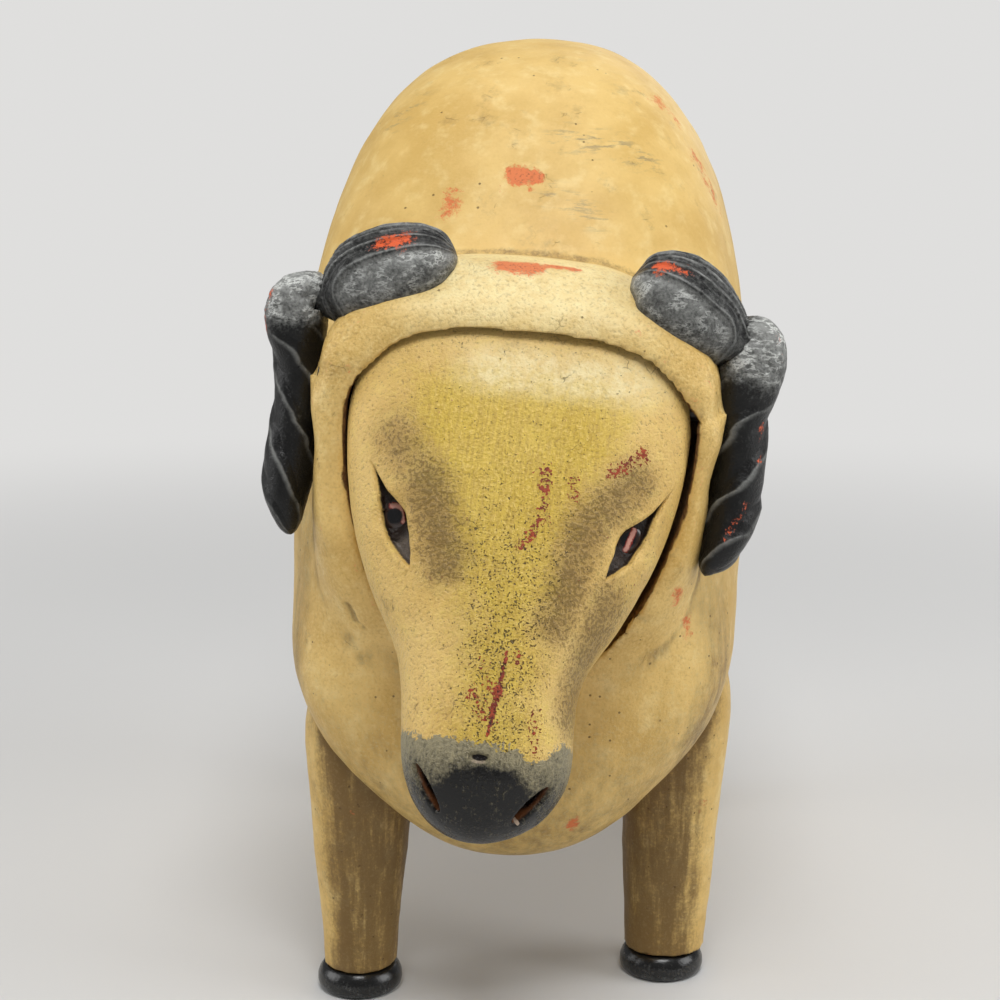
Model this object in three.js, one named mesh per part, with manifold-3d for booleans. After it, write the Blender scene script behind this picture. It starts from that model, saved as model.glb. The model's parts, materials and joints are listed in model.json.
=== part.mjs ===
// A carved and painted wooden ram with a nodding head.
// Millimetres, +Z up, the face looks along -Y, soles on Z = 0.
// The hood, horns and face lean a few degrees to the ram's left, as the carver left them.

import * as THREE from "three";
import { mergeVertices } from "three/addons/utils/BufferGeometryUtils.js";
import Module from "manifold-3d";

// Body
const BODY_WIDTH = 78;
const BODY_LENGTH = 143;
const BACK_HEIGHT = 158.5;
const BELLY_HEIGHT = 25.3;
const CHEST_Y = -57;
const BODY_WIDEST = 0.47; // the height where it is widest, as a share of its own
const BODY_SQUARE_BACK = 2.5;
const BODY_SQUARE_BELLY = 2;

// Hood: the carved neck that the face hangs in
const HOOD_REACH = 4.2; // how far its rim stands ahead of the chest
const HOOD_DEPTH = 39; // how far back it runs into the body
const HOOD_SIDE_WALL = 3.6;
const HOOD_TOP_WALL = 8.2;
const HOOD_SKIRT = 72; // height of the hood's side walls, crown to throat
const HOOD_SQUARE_CROWN = 3.1;
const HOOD_SQUARE_THROAT = 2.4;
const LEAN = THREE.MathUtils.degToRad(4.8);
const LEAN_HEIGHT = 45;
const LEAN_SHIFT = -2.5; // the hood's foot, off the body's middle

// Face block
const FACE_WIDTH = 51;
const FACE_LENGTH = 78.5;
const FACE_DEPTH = 10.4; // from its middle line to the brow
const FACE_TOP = 114;
const FACE_PITCH = THREE.MathUtils.degToRad(24.7);
const FACE_SET_BACK = 11.2; // its middle line's upper end, behind the hood's rim
const FACE_SAWN_BACK = 13.2; // its flat back, behind the hood's rim
const FACE_SQUARE_BACK = 2.6;
const FACE_GAP = 0.8;
const SOCKET_SHIFT = 1.2; // the socket is cut nearer the hood's left side
const FACE_OFF_CENTRE = -0.35; // the face hangs nearer the socket's right wall

// Nod
const NOD_UP = THREE.MathUtils.degToRad(-7);
const NOD_DOWN = THREE.MathUtils.degToRad(4);
const PIN_RADIUS = 1.5;
const PIN_BELOW_TOP = 11.5;
const PIN_BEHIND_RIM = 4.8;
const PIN_DRILLED_PAST = 1.2; // the drill runs on through the wall, as a share of the pin
const STEM_RADIUS = 2.5;
const STEM_BELOW_PIN = 11;
const STEM_IN_HEAD = 7;
const STEM_LENGTH = 36;
const WEIGHT_RADIUS = 6.5;
const WEIGHT_LENGTH = 10;
const WEIGHT_ROOM = 2;
const WOOD_DENSITY = 600e-9;
const IRON_DENSITY = 7200e-9;
const GLASS_DENSITY = 2500e-9;

// Eyes
const EYE_RADIUS = 2.7;
const EYE_ALONG_FACE = 34.4;
const EYE_SPACING = 35.8;
const EYES_OFF_CENTRE = 1; // both eyes sit a little towards the ram's left
const EYE_PROUD = 0.6; // how far the bead stands out of the cheek

// The two sides, and which way each lies across
const BOTH_SIDES = [
  ["right", -1],
  ["left", 1],
];

// Horns
const HORN_ROOT_RADIUS = 8.6;
const HORN_RIDGES = 13;
const HORN_RIDGE_HEIGHT = 0.45;
const HORN_DOWEL_RADIUS = 1.6;
const HORN_DOWEL_LENGTH = 10;
const HORN_DOWEL_BEHIND_RIM = 14;
const HORN_DOWEL_BELOW_CROWN = 8.5;
const HORN_DOWEL_INSET = 3; // its middle, in from the hood's widest

// Legs and hooves
const LEG_INSET = 13.8; // leg's middle line, in from the body's side
const ANKLE_RADIUS = 5.95;
const ANKLE_SHARE = 0.17; // its height, as a share of the leg's
const ANKLE_SWELL = 0.5; // how much thicker it is at that height than at the hoof
const KNEE_RADIUS = 8;
const KNEE_SHARE = 0.49;
const KNEE_DEEPER = 1; // its half depth, beyond its half breadth
const KNEE_TURN = -0.3; // how far the middle line stands out from the body there
const THIGH_SHARE = 0.71;
const THIGH_SWELL = 0.6;
const THIGH_TURN = -0.2;
const SHOULDER_REACH = 11; // half the leg's breadth where it meets the body, front
const HAUNCH_REACH = 15; // the same, rear
const LEG_TOP_SHARE = 0.426; // height of the leg's top up the body's side, as a share
const LEG_ROUND_SHARE = 0.89; // where its rounded end begins
const LEG_TOP_THINNER = 3;
const LEG_TOP_NARROWER = 5;
const LEG_TOP_TURN = -3;
const LEG_ROUND_TURN = -1;
const RIGHT_FORELEG_BACK = 17.5; // behind the chest
const LEFT_FORELEG_BACK = 28.3;
const LEFT_FORELEG_TAPER = 2.4; // how far its upper half stands further out than the right one's
const HIND_LEG_AHEAD = 32; // ahead of the rump
const LEG_DOWEL_RADIUS = 3;
const LEG_DOWEL_LENGTH = 30;
const LEG_DOWEL_ABOVE_BELLY = 17; // its middle
const HOOF_RADIUS = 7.1;
const HOOF_HEIGHT = 4.3;
const HOOF_SOLE_BEVEL = 0.9;
const HOOF_SOLE_BEVEL_HEIGHT = 1.1;
const HOOF_FLARE = 0.2; // how far the wall draws in as it rises
const HOOF_SHOULDER = 1;
const HOOF_SHOULDER_HEIGHT = 2;
const HOOF_PEG_RADIUS = 2.5;
const HOOF_PEG_LENGTH = 9;

// Tail
const TAIL_LENGTH = 34;
const TAIL_RADIUS = 5;
const TAIL_ROOT_HEIGHT = 112;
const TAIL_DOWEL_RADIUS = 2;
const TAIL_DOWEL_LENGTH = 14;
const TAIL_DOWEL_SUNK = 2.5; // its middle, inside the rump's end
const TAIL_DOWEL_ALONG = 0.3; // its place down the tail, as a share

// Glue line between fixed pieces
const SEAT_GAP = 0.3;

// Facets
const BODY_SIDES = 32;
const FACE_SIDES = 28;
const HORN_SIDES = 12;
const LEG_SIDES = 14;
const ROD_SIDES = 12;
const EYE_SIDES = 14;
const EYE_RINGS = 10;
const RINGS_PER_RIDGE = 3;
const RINGS_PER_STATION = 2;
const SOCKET_RINGS_PER_STATION = 1;
const MERGE_DISTANCE = 1e-4;

const wasm = await Module();
wasm.setup();

// Where things are
const RIM_Y = CHEST_Y - HOOD_REACH;
const RUMP_Y = CHEST_Y + BODY_LENGTH;
const BODY_HEIGHT = BACK_HEIGHT - BELLY_HEIGHT;
const HOOD_HALF_WIDTH = FACE_WIDTH / 2 + FACE_GAP + HOOD_SIDE_WALL;
const HOOD_TOP = FACE_TOP + HOOD_TOP_WALL;
const PIN_Y = RIM_Y + PIN_BEHIND_RIM;
const PIN_Z = FACE_TOP - PIN_BELOW_TOP;
const STEM_Z = PIN_Z - STEM_BELOW_PIN;
const LEG_TOP = BELLY_HEIGHT + LEG_TOP_SHARE * BODY_HEIGHT;
const FACE_BACK_Y = RIM_Y + FACE_SAWN_BACK;

// Torso sections from chest to rump, as shares of the body's length, half width and height
const TORSO_FORM = [
  { along: 0, wide: 0.42, low: 0.14, high: 0.34 },
  { along: 0.014, wide: 0.62, low: 0.085, high: 0.44 },
  { along: 0.042, wide: 0.77, low: 0.04, high: 0.53 },
  { along: 0.091, wide: 0.865, low: 0.012, high: 0.62 },
  { along: 0.16, wide: 0.93, low: 0, high: 0.735 },
  { along: 0.26, wide: 0.98, low: 0, high: 0.885 },
  { along: 0.38, wide: 1, low: 0.008, high: 0.97 },
  { along: 0.53, wide: 1, low: 0.02, high: 1 },
  { along: 0.7, wide: 0.965, low: 0.04, high: 0.975 },
  { along: 0.83, wide: 0.87, low: 0.075, high: 0.9 },
  { along: 0.92, wide: 0.7, low: 0.15, high: 0.79 },
  { along: 0.975, wide: 0.46, low: 0.26, high: 0.67 },
  { along: 1, wide: 0.16, low: 0.4, high: 0.53 },
];

// Hood sections from its rim back into the body: depth, half width, drop of the crown, rise of the throat
const HOOD_FORM = [
  { along: 0, wide: 0.94, drop: 6.9, rise: 16 },
  { along: 0.03, wide: 0.965, drop: 4.7, rise: 13 },
  { along: 0.085, wide: 0.985, drop: 2.7, rise: 9 },
  { along: 0.19, wide: 1, drop: 0.9, rise: 2 },
  { along: 0.34, wide: 1, drop: 0, rise: -4 },
  { along: 0.55, wide: 1.015, drop: 0.2, rise: -8 },
  { along: 0.8, wide: 1.04, drop: 2.5, rise: -11 },
  { along: 1, wide: 1.04, drop: 6.5, rise: -11 },
];

// Face sections from crown to chin: half width, front depth, back depth, squareness of the front
const FACE_FORM = [
  { along: 0, wide: 0.6, front: 0.4, back: 0.45, square: 2.8 },
  { along: 0.016, wide: 0.76, front: 0.6, back: 0.62, square: 2.9 },
  { along: 0.045, wide: 0.865, front: 0.72, back: 0.76, square: 3 },
  { along: 0.118, wide: 0.968, front: 0.81, back: 0.95, square: 2.9 },
  { along: 0.22, wide: 1, front: 0.88, back: 1.2, square: 2.6 },
  { along: 0.345, wide: 0.96, front: 0.96, back: 1.45, square: 2.2 },
  { along: 0.48, wide: 0.85, front: 1, back: 1.62, square: 2 },
  { along: 0.6, wide: 0.675, front: 1.01, back: 1.6, square: 2 },
  { along: 0.69, wide: 0.525, front: 1, back: 1.35, square: 2.1 },
  { along: 0.79, wide: 0.468, front: 0.98, back: 1, square: 2.4 },
  { along: 0.867, wide: 0.44, front: 0.92, back: 0.86, square: 2.5 },
  { along: 0.935, wide: 0.36, front: 0.74, back: 0.68, square: 2.4 },
  { along: 0.98, wide: 0.23, front: 0.45, back: 0.42, square: 2.2 },
  { along: 1, wide: 0.09, front: 0.18, back: 0.17, square: 2 },
];

// Horn path: out from the hood's side wall, behind its rim, below its crown
const HORN_PATH = [
  { out: -18.5, behind: 8.5, below: 6.5 },
  { out: -11.5, behind: 8.5, below: 6 },
  { out: -4, behind: 9.5, below: 7.5 },
  { out: 2.6, behind: 11, below: 11 },
  { out: 4.2, behind: 10.5, below: 18 },
  { out: 3.6, behind: 9.5, below: 27 },
  { out: 3, behind: 7.5, below: 36 },
  { out: 1.4, behind: 4.5, below: 43 },
];

// Horn sections from root to tip: thickness as a share of the root's, and depth as a share of the thickness
const HORN_FORM = [
  { along: 0, thick: 0.55, deep: 1 },
  { along: 0.12, thick: 0.95, deep: 1 },
  { along: 0.25, thick: 1, deep: 1.05 },
  { along: 0.4, thick: 0.74, deep: 1.2 },
  { along: 0.55, thick: 0.56, deep: 1.5 },
  { along: 0.75, thick: 0.53, deep: 1.5 },
  { along: 0.92, thick: 0.45, deep: 1.35 },
  { along: 1, thick: 0.14, deep: 1.2 },
];

// Tail sections from root to tip: thickness as a share, and how far the middle line stands off the rump
const TAIL_FORM = [
  { along: 0, wide: 0.5, out: -3 },
  { along: 0.12, wide: 0.95, out: -1.2 },
  { along: 0.35, wide: 1, out: 0.8 },
  { along: 0.7, wide: 0.8, out: 1 },
  { along: 0.93, wide: 0.5, out: 0.6 },
  { along: 1, wide: 0.15, out: 0.2 },
];

// A closed mesh of three.js as a solid that can be cut and joined.
function solidFrom(geometry) {
  const bare = geometry.index ? geometry.toNonIndexed() : geometry.clone();
  bare.deleteAttribute("normal");
  bare.deleteAttribute("uv");
  const merged = mergeVertices(bare, MERGE_DISTANCE);
  const corners = [];
  for (let i = 0; i < merged.index.count; i += 3) {
    const a = merged.index.getX(i);
    const b = merged.index.getX(i + 1);
    const c = merged.index.getX(i + 2);
    if (a !== b && b !== c && c !== a) corners.push(a, b, c);
  }
  const mesh = (triVerts) =>
    new wasm.Mesh({ numProp: 3, vertProperties: merged.attributes.position.array, triVerts });
  const solid = new wasm.Manifold(mesh(new Uint32Array(corners)));
  if (solid.volume() > 0) return solid;
  return new wasm.Manifold(mesh(new Uint32Array(corners.reverse())));
}

function geometryFrom(solid) {
  const mesh = solid.getMesh();
  const geometry = new THREE.BufferGeometry();
  geometry.setAttribute("position", new THREE.BufferAttribute(mesh.vertProperties, 3));
  geometry.setIndex(new THREE.BufferAttribute(mesh.triVerts, 1));
  geometry.computeVertexNormals();
  return geometry;
}

// Mass and first moment along Y of a solid, from its triangles.
function massAlongY(solid, density) {
  const { vertProperties, triVerts } = solid.getMesh();
  const corner = (i) => new THREE.Vector3().fromArray(vertProperties, 3 * triVerts[i]);
  let volume = 0;
  let moment = 0;
  for (let i = 0; i < triVerts.length; i += 3) {
    const [a, b, c] = [corner(i), corner(i + 1), corner(i + 2)];
    const wedge = a.dot(b.clone().cross(c)) / 6;
    volume += wedge;
    moment += (wedge * (a.y + b.y + c.y)) / 4;
  }
  return { mass: volume * density, moment: moment * density };
}

// Every field of a list of sections, carried smoothly and without overshoot to one place along it.
function sectionAt(sections, along) {
  const last = sections.length - 2;
  const step = sections.findIndex((section, i) => i === last || along <= sections[i + 1].along);
  const [here, next] = [sections[step], sections[step + 1]];
  const span = next.along - here.along;
  const t = (along - here.along) / span;
  const rise = (field, i) =>
    (sections[i + 1][field] - sections[i][field]) / (sections[i + 1].along - sections[i].along);
  const slope = (field, i) => {
    if (i === 0) return rise(field, 0);
    if (i === sections.length - 1) return rise(field, i - 1);
    const [before, after] = [rise(field, i - 1), rise(field, i)];
    return before * after > 0 ? (2 * before * after) / (before + after) : 0;
  };
  const result = { along };
  for (const field of Object.keys(here)) {
    if (field === "along") continue;
    result[field] =
      here[field] * (1 + 2 * t) * (1 - t) ** 2 +
      next[field] * (3 - 2 * t) * t ** 2 +
      slope(field, step) * span * t * (1 - t) ** 2 -
      slope(field, step + 1) * span * t ** 2 * (1 - t);
  }
  return result;
}

// The places of the rings of a loft: each section's own, and evenly between.
function ringPlaces(sections, perStation = RINGS_PER_STATION) {
  const places = [sections[0].along];
  for (let i = 1; i < sections.length; i += 1) {
    const from = sections[i - 1].along;
    const to = sections[i].along;
    for (let j = 1; j <= perStation; j += 1) {
      places.push(from + ((to - from) * j) / perStation);
    }
  }
  return places;
}

// One ring in two directions: a round or squared oval with its own reach up and down.
function ovalRing(sides, halfWidth, up, down, squareUp = 2, squareDown = 2) {
  const ring = [];
  for (let i = 0; i < sides; i += 1) {
    const angle = (2 * Math.PI * i) / sides;
    const [c, s] = [Math.cos(angle), Math.sin(angle)];
    const power = 2 / (s > 0 ? squareUp : squareDown);
    const across = halfWidth * Math.sign(c) * Math.abs(c) ** power;
    const height = (s > 0 ? up : down) * Math.sign(s) * Math.abs(s) ** power;
    ring.push([across, height]);
  }
  return ring;
}

// A closed skin over rings that have the same number of points.
function loft(rings) {
  const sides = rings[0].length;
  const points = rings.flat();
  const corners = [];
  for (let r = 0; r + 1 < rings.length; r += 1) {
    for (let i = 0; i < sides; i += 1) {
      const j = (i + 1) % sides;
      const [a, b, c, d] = [r * sides + i, r * sides + j, (r + 1) * sides + j, (r + 1) * sides + i];
      corners.push(a, b, c, a, c, d);
    }
  }
  for (const end of [0, rings.length - 1]) {
    const middle = new THREE.Vector3();
    rings[end].forEach((point) => middle.addScaledVector(point, 1 / sides));
    points.push(middle);
    for (let i = 0; i < sides; i += 1) {
      const j = (i + 1) % sides;
      const rim = end === 0 ? [j, i] : [end * sides + i, end * sides + j];
      corners.push(points.length - 1, rim[0], rim[1]);
    }
  }
  const geometry = new THREE.BufferGeometry().setFromPoints(points);
  geometry.setIndex(corners);
  return geometry;
}

// A round rod about the middle of two points.
function rod(radius, from, to) {
  const length = from.distanceTo(to);
  const along = to.clone().sub(from).normalize();
  const geometry = new THREE.CylinderGeometry(radius, radius, length, ROD_SIDES);
  const turn = new THREE.Quaternion().setFromUnitVectors(new THREE.Vector3(0, 1, 0), along);
  geometry.applyQuaternion(turn);
  const middle = from.clone().add(to).multiplyScalar(0.5);
  return geometry.translate(middle.x, middle.y, middle.z);
}

// A dowel about a middle point, and the hole that takes it.
function dowel(radius, length, middle, direction) {
  const half = direction.clone().normalize().multiplyScalar(length / 2);
  const room = half.clone().setLength(length / 2 + SEAT_GAP);
  return {
    pin: solidFrom(rod(radius, middle.clone().sub(half), middle.clone().add(half))),
    hole: solidFrom(rod(radius + SEAT_GAP, middle.clone().sub(room), middle.clone().add(room))),
  };
}

// The lean of hood, horns and face, about a point low in the chest.
const LEANING = new THREE.Matrix4()
  .makeTranslation(LEAN_SHIFT, 0, LEAN_HEIGHT)
  .multiply(new THREE.Matrix4().makeRotationY(LEAN))
  .multiply(new THREE.Matrix4().makeTranslation(0, 0, -LEAN_HEIGHT));
const UPRIGHT = LEANING.clone().invert();

function torsoForm(grow = 0) {
  const rings = ringPlaces(TORSO_FORM).map((along) => {
    const section = sectionAt(TORSO_FORM, along);
    const high = BELLY_HEIGHT + section.high * BODY_HEIGHT + grow;
    const low = BELLY_HEIGHT + section.low * BODY_HEIGHT - grow;
    const middle = low + BODY_WIDEST * (high - low);
    const halfWidth = (section.wide * BODY_WIDTH) / 2 + grow;
    const y = CHEST_Y + along * BODY_LENGTH + grow * (2 * along - 1);
    const reach = [halfWidth, high - middle, middle - low];
    const ring = ovalRing(BODY_SIDES, ...reach, BODY_SQUARE_BACK, BODY_SQUARE_BELLY);
    return ring.map(([across, height]) => new THREE.Vector3(across, y, middle + height));
  });
  return loft(rings);
}

function hoodForm(grow = 0) {
  const throat = HOOD_TOP - HOOD_SKIRT;
  const rings = ringPlaces(HOOD_FORM).map((along) => {
    const section = sectionAt(HOOD_FORM, along);
    const high = HOOD_TOP - section.drop + grow;
    const low = throat + section.rise - grow;
    const middle = (high + low) / 2;
    const y = RIM_Y + along * HOOD_DEPTH + grow * (2 * along - 1);
    const halfWidth = section.wide * HOOD_HALF_WIDTH + grow;
    const reach = [halfWidth, high - middle, middle - low];
    const ring = ovalRing(BODY_SIDES, ...reach, HOOD_SQUARE_CROWN, HOOD_SQUARE_THROAT);
    return ring.map(([across, height]) => new THREE.Vector3(across, y, middle + height));
  });
  return loft(rings);
}

// A point of the face, by its place along the middle line and its reach across and forward of it.
const FACE_DOWN = new THREE.Vector3(0, -Math.sin(FACE_PITCH), -Math.cos(FACE_PITCH));
const FACE_FORWARD = new THREE.Vector3(0, -Math.cos(FACE_PITCH), Math.sin(FACE_PITCH));
const FACE_CROWN = new THREE.Vector3(0, RIM_Y + FACE_SET_BACK, FACE_TOP);

function facePoint(down, across, forward) {
  return new THREE.Vector3(across, 0, 0)
    .add(FACE_CROWN)
    .addScaledVector(FACE_DOWN, down)
    .addScaledVector(FACE_FORWARD, forward);
}

function faceForm(grow = 0, perStation = RINGS_PER_STATION) {
  const rings = ringPlaces(FACE_FORM, perStation).map((along) => {
    const section = sectionAt(FACE_FORM, along);
    const down = along * FACE_LENGTH + grow * (2 * along - 1);
    const ring = ovalRing(
      FACE_SIDES,
      (section.wide * FACE_WIDTH) / 2 + grow,
      section.front * FACE_DEPTH + grow,
      section.back * FACE_DEPTH + grow,
      section.square,
      FACE_SQUARE_BACK,
    );
    return ring.map(([across, forward]) => facePoint(down, across, forward));
  });
  return loft(rings);
}

// Turns a shape about the nod pin.
function nodded(geometry, angle) {
  return geometry.translate(0, -PIN_Y, -PIN_Z).rotateX(angle).translate(0, PIN_Y, PIN_Z);
}

// The room that the face needs as it nods, with the gap that shows round it.
function socket() {
  const faceRoom = () => faceForm(FACE_GAP, SOCKET_RINGS_PER_STATION);
  let room = solidFrom(faceRoom().translate(SOCKET_SHIFT, 0, 0));
  for (const angle of [NOD_UP, NOD_DOWN]) {
    room = room.add(solidFrom(nodded(faceRoom(), angle).translate(SOCKET_SHIFT, 0, 0)));
  }
  return room;
}

// The middle of an eye bead: on the cheek's surface, sunk so that only a cap of it shows.
function eyeMiddle(side) {
  const section = sectionAt(FACE_FORM, EYE_ALONG_FACE / FACE_LENGTH);
  const across = (side * EYE_SPACING) / 2 + EYES_OFF_CENTRE;
  const share = Math.abs(across) / ((section.wide * FACE_WIDTH) / 2);
  const forward = section.front * FACE_DEPTH * (1 - share ** section.square) ** (1 / section.square);
  const sunk = EYE_RADIUS - EYE_PROUD;
  const outward = new THREE.Vector2(share, forward / (section.front * FACE_DEPTH)).normalize();
  return facePoint(EYE_ALONG_FACE, across - side * sunk * outward.x, forward - sunk * outward.y);
}

// A horn: a tapering ridged sweep from the crown out over the hood's corner and down its side.
function hornForm(side) {
  const path = new THREE.CatmullRomCurve3(
    HORN_PATH.map(({ out, behind, below }) => {
      return new THREE.Vector3(side * (HOOD_HALF_WIDTH + out), RIM_Y + behind, HOOD_TOP - below);
    }),
  );
  const backwards = new THREE.Vector3(0, 1, 0);
  const rings = [];
  const steps = HORN_RIDGES * RINGS_PER_RIDGE;
  for (let i = 0; i <= steps; i += 1) {
    const along = i / steps;
    const middle = path.getPointAt(along);
    const ahead = path.getTangentAt(along);
    const deep = backwards.clone().addScaledVector(ahead, -backwards.dot(ahead)).normalize();
    const thick = new THREE.Vector3().crossVectors(deep, ahead);
    const section = sectionAt(HORN_FORM, along);
    const ridge = i % RINGS_PER_RIDGE === 0 ? -HORN_RIDGE_HEIGHT : HORN_RIDGE_HEIGHT / 2;
    const reach = HORN_ROOT_RADIUS * section.thick + ridge * (1 - along / 2);
    const ring = ovalRing(HORN_SIDES, reach, reach * section.deep, reach * section.deep);
    rings.push(
      ring.map(([a, b]) => middle.clone().addScaledVector(thick, a).addScaledVector(deep, b)),
    );
  }
  return loft(rings);
}

function hornDowel(side) {
  const seat = new THREE.Vector3(
    side * (HOOD_HALF_WIDTH - HORN_DOWEL_INSET),
    RIM_Y + HORN_DOWEL_BEHIND_RIM,
    HOOD_TOP - HORN_DOWEL_BELOW_CROWN,
  );
  return dowel(HORN_DOWEL_RADIUS, HORN_DOWEL_LENGTH, seat, new THREE.Vector3(1, 0, 0));
}

// A leg: round at the ankle, thicker at the knee, broad where it is glued to the body.
function legForm(x, y, reach, taper) {
  const side = Math.sign(x);
  const ankle = ANKLE_RADIUS + ANKLE_SWELL;
  const knee = KNEE_RADIUS + KNEE_DEEPER;
  const thigh = KNEE_RADIUS + THIGH_SWELL;
  const end = { wide: KNEE_RADIUS - LEG_TOP_THINNER, deep: reach - LEG_TOP_NARROWER };
  const sections = [
    { along: HOOF_HEIGHT + SEAT_GAP, wide: ANKLE_RADIUS, deep: ANKLE_RADIUS, out: 0 },
    { along: ANKLE_SHARE * LEG_TOP, wide: ankle, deep: ankle, out: taper * ANKLE_SHARE },
    { along: KNEE_SHARE * LEG_TOP, wide: KNEE_RADIUS, deep: knee, out: KNEE_TURN + taper },
    { along: THIGH_SHARE * LEG_TOP, wide: thigh, deep: reach, out: THIGH_TURN + taper },
    { along: LEG_ROUND_SHARE * LEG_TOP, wide: KNEE_RADIUS, deep: reach, out: LEG_ROUND_TURN },
    { along: LEG_TOP, ...end, out: LEG_TOP_TURN },
  ];
  const rings = ringPlaces(sections).map((height) => {
    const section = sectionAt(sections, height);
    const ring = ovalRing(LEG_SIDES, section.wide, section.deep, section.deep);
    return ring.map(
      ([across, back]) => new THREE.Vector3(x + side * section.out + across, y + back, height),
    );
  });
  return loft(rings);
}

function legDowel(x, y) {
  const middle = new THREE.Vector3(x, y, BELLY_HEIGHT + LEG_DOWEL_ABOVE_BELLY);
  return dowel(LEG_DOWEL_RADIUS, LEG_DOWEL_LENGTH, middle, new THREE.Vector3(0, 0, 1));
}

// A turned foot: a flared disc with a peg that goes up into the leg.
function hoofForm(x, y, grow = 0) {
  const profile = [
    [0, -grow],
    [HOOF_RADIUS - HOOF_SOLE_BEVEL, -grow],
    [HOOF_RADIUS, HOOF_SOLE_BEVEL_HEIGHT],
    [HOOF_RADIUS - HOOF_FLARE, HOOF_HEIGHT - HOOF_SHOULDER_HEIGHT],
    [HOOF_RADIUS - HOOF_SHOULDER, HOOF_HEIGHT],
    [HOOF_PEG_RADIUS + grow, HOOF_HEIGHT],
    [HOOF_PEG_RADIUS + grow, HOOF_HEIGHT + HOOF_PEG_LENGTH + grow],
    [0, HOOF_HEIGHT + HOOF_PEG_LENGTH + grow],
  ].map(([radius, height]) => new THREE.Vector2(radius, height));
  return new THREE.LatheGeometry(profile, LEG_SIDES).rotateX(Math.PI / 2).translate(x, y, 0);
}

// A short tail that lies down the rump.
function tailForm() {
  const rings = ringPlaces(TAIL_FORM).map((along) => {
    const section = sectionAt(TAIL_FORM, along);
    const radius = section.wide * TAIL_RADIUS;
    const ring = ovalRing(LEG_SIDES, radius, radius, radius);
    const height = TAIL_ROOT_HEIGHT - along * TAIL_LENGTH;
    return ring.map(
      ([across, back]) => new THREE.Vector3(across, RUMP_Y + section.out + back, height),
    );
  });
  return loft(rings);
}

function tailDowel() {
  const height = TAIL_ROOT_HEIGHT - TAIL_DOWEL_ALONG * TAIL_LENGTH;
  const middle = new THREE.Vector3(0, RUMP_Y - TAIL_DOWEL_SUNK, height);
  return dowel(TAIL_DOWEL_RADIUS, TAIL_DOWEL_LENGTH, middle, new THREE.Vector3(0, 1, 0));
}

// Colours of the worn paint and of what lies under it
const FINISHES = {
  tan: { color: 0xc49a5a, roughness: 0.55, metalness: 0 },
  gold: { color: 0xb8963f, roughness: 0.55, metalness: 0 },
  black: { color: 0x26262a, roughness: 0.35, metalness: 0 },
  bare: { color: 0x8a6238, roughness: 0.8, metalness: 0 },
  iron: { color: 0x4a4745, roughness: 0.6, metalness: 1 },
  glass: { color: 0x160c0c, roughness: 0.08, metalness: 0 },
};

function piece(group, name, solid, finish) {
  const mesh = new THREE.Mesh(geometryFrom(solid), new THREE.MeshStandardMaterial(FINISHES[finish]));
  mesh.name = name;
  group.add(mesh);
}

const figure = new THREE.Group();
const leaning = new THREE.Group();
leaning.applyMatrix4(LEANING);
figure.add(leaning);

// Legs, hooves, tail and their dowels, and the holes that they need in the torso
const torsoSeat = solidFrom(torsoForm(SEAT_GAP));
const legX = BODY_WIDTH / 2 - LEG_INSET;
const hindY = RUMP_Y - HIND_LEG_AHEAD;
const rightY = CHEST_Y + RIGHT_FORELEG_BACK;
const leftY = CHEST_Y + LEFT_FORELEG_BACK;
const LEGS = [
  { name: "front_right", x: -legX, y: rightY, reach: SHOULDER_REACH, taper: 0 },
  { name: "front_left", x: legX, y: leftY, reach: SHOULDER_REACH, taper: LEFT_FORELEG_TAPER },
  { name: "rear_right", x: -legX, y: hindY, reach: HAUNCH_REACH, taper: 0 },
  { name: "rear_left", x: legX, y: hindY, reach: HAUNCH_REACH, taper: 0 },
];
const torsoHoles = [];
for (const { name, x, y, reach, taper } of LEGS) {
  const { pin, hole } = legDowel(x, y);
  const hoofRoom = solidFrom(hoofForm(x, y, SEAT_GAP));
  const carved = solidFrom(legForm(x, y, reach, taper));
  const leg = carved.subtract(torsoSeat).subtract(hole).subtract(hoofRoom);
  piece(figure, `leg_${name}`, leg, "tan");
  piece(figure, `leg_dowel_${name}`, pin, "bare");
  piece(figure, `hoof_${name}`, solidFrom(hoofForm(x, y)), "black");
  torsoHoles.push(hole);
}

const tailPeg = tailDowel();
piece(figure, "tail", solidFrom(tailForm()).subtract(torsoSeat).subtract(tailPeg.hole), "tan");
piece(figure, "tail_dowel", tailPeg.pin, "bare");
torsoHoles.push(tailPeg.hole);

// Horns, seated on the hood and the torso behind it, each on a dowel
const hoodSeat = solidFrom(hoodForm(SEAT_GAP)).add(solidFrom(torsoForm(SEAT_GAP).applyMatrix4(UPRIGHT)));
const hoodHoles = [];
for (const [name, side] of BOTH_SIDES) {
  const { pin, hole } = hornDowel(side);
  const horn = solidFrom(hornForm(side)).subtract(hoodSeat).subtract(hole);
  piece(leaning, `horn_${name}`, horn, "black");
  piece(leaning, `horn_dowel_${name}`, pin, "bare");
  hoodHoles.push(hole);
}

// The nod pin, right through the hood
const pinHalf = new THREE.Vector3(HOOD_HALF_WIDTH - SEAT_GAP, 0, 0);
const pinMiddle = new THREE.Vector3(0, PIN_Y, PIN_Z);
const pinEnds = [pinMiddle.clone().sub(pinHalf), pinMiddle.clone().add(pinHalf)];
piece(leaning, "nod_pin", solidFrom(rod(PIN_RADIUS, ...pinEnds)), "iron");
const drilled = pinEnds.map((end) => end.clone().setX(end.x * PIN_DRILLED_PAST));
const pinHole = solidFrom(rod(PIN_RADIUS + SEAT_GAP, ...drilled));
hoodHoles.push(pinHole);

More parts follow.
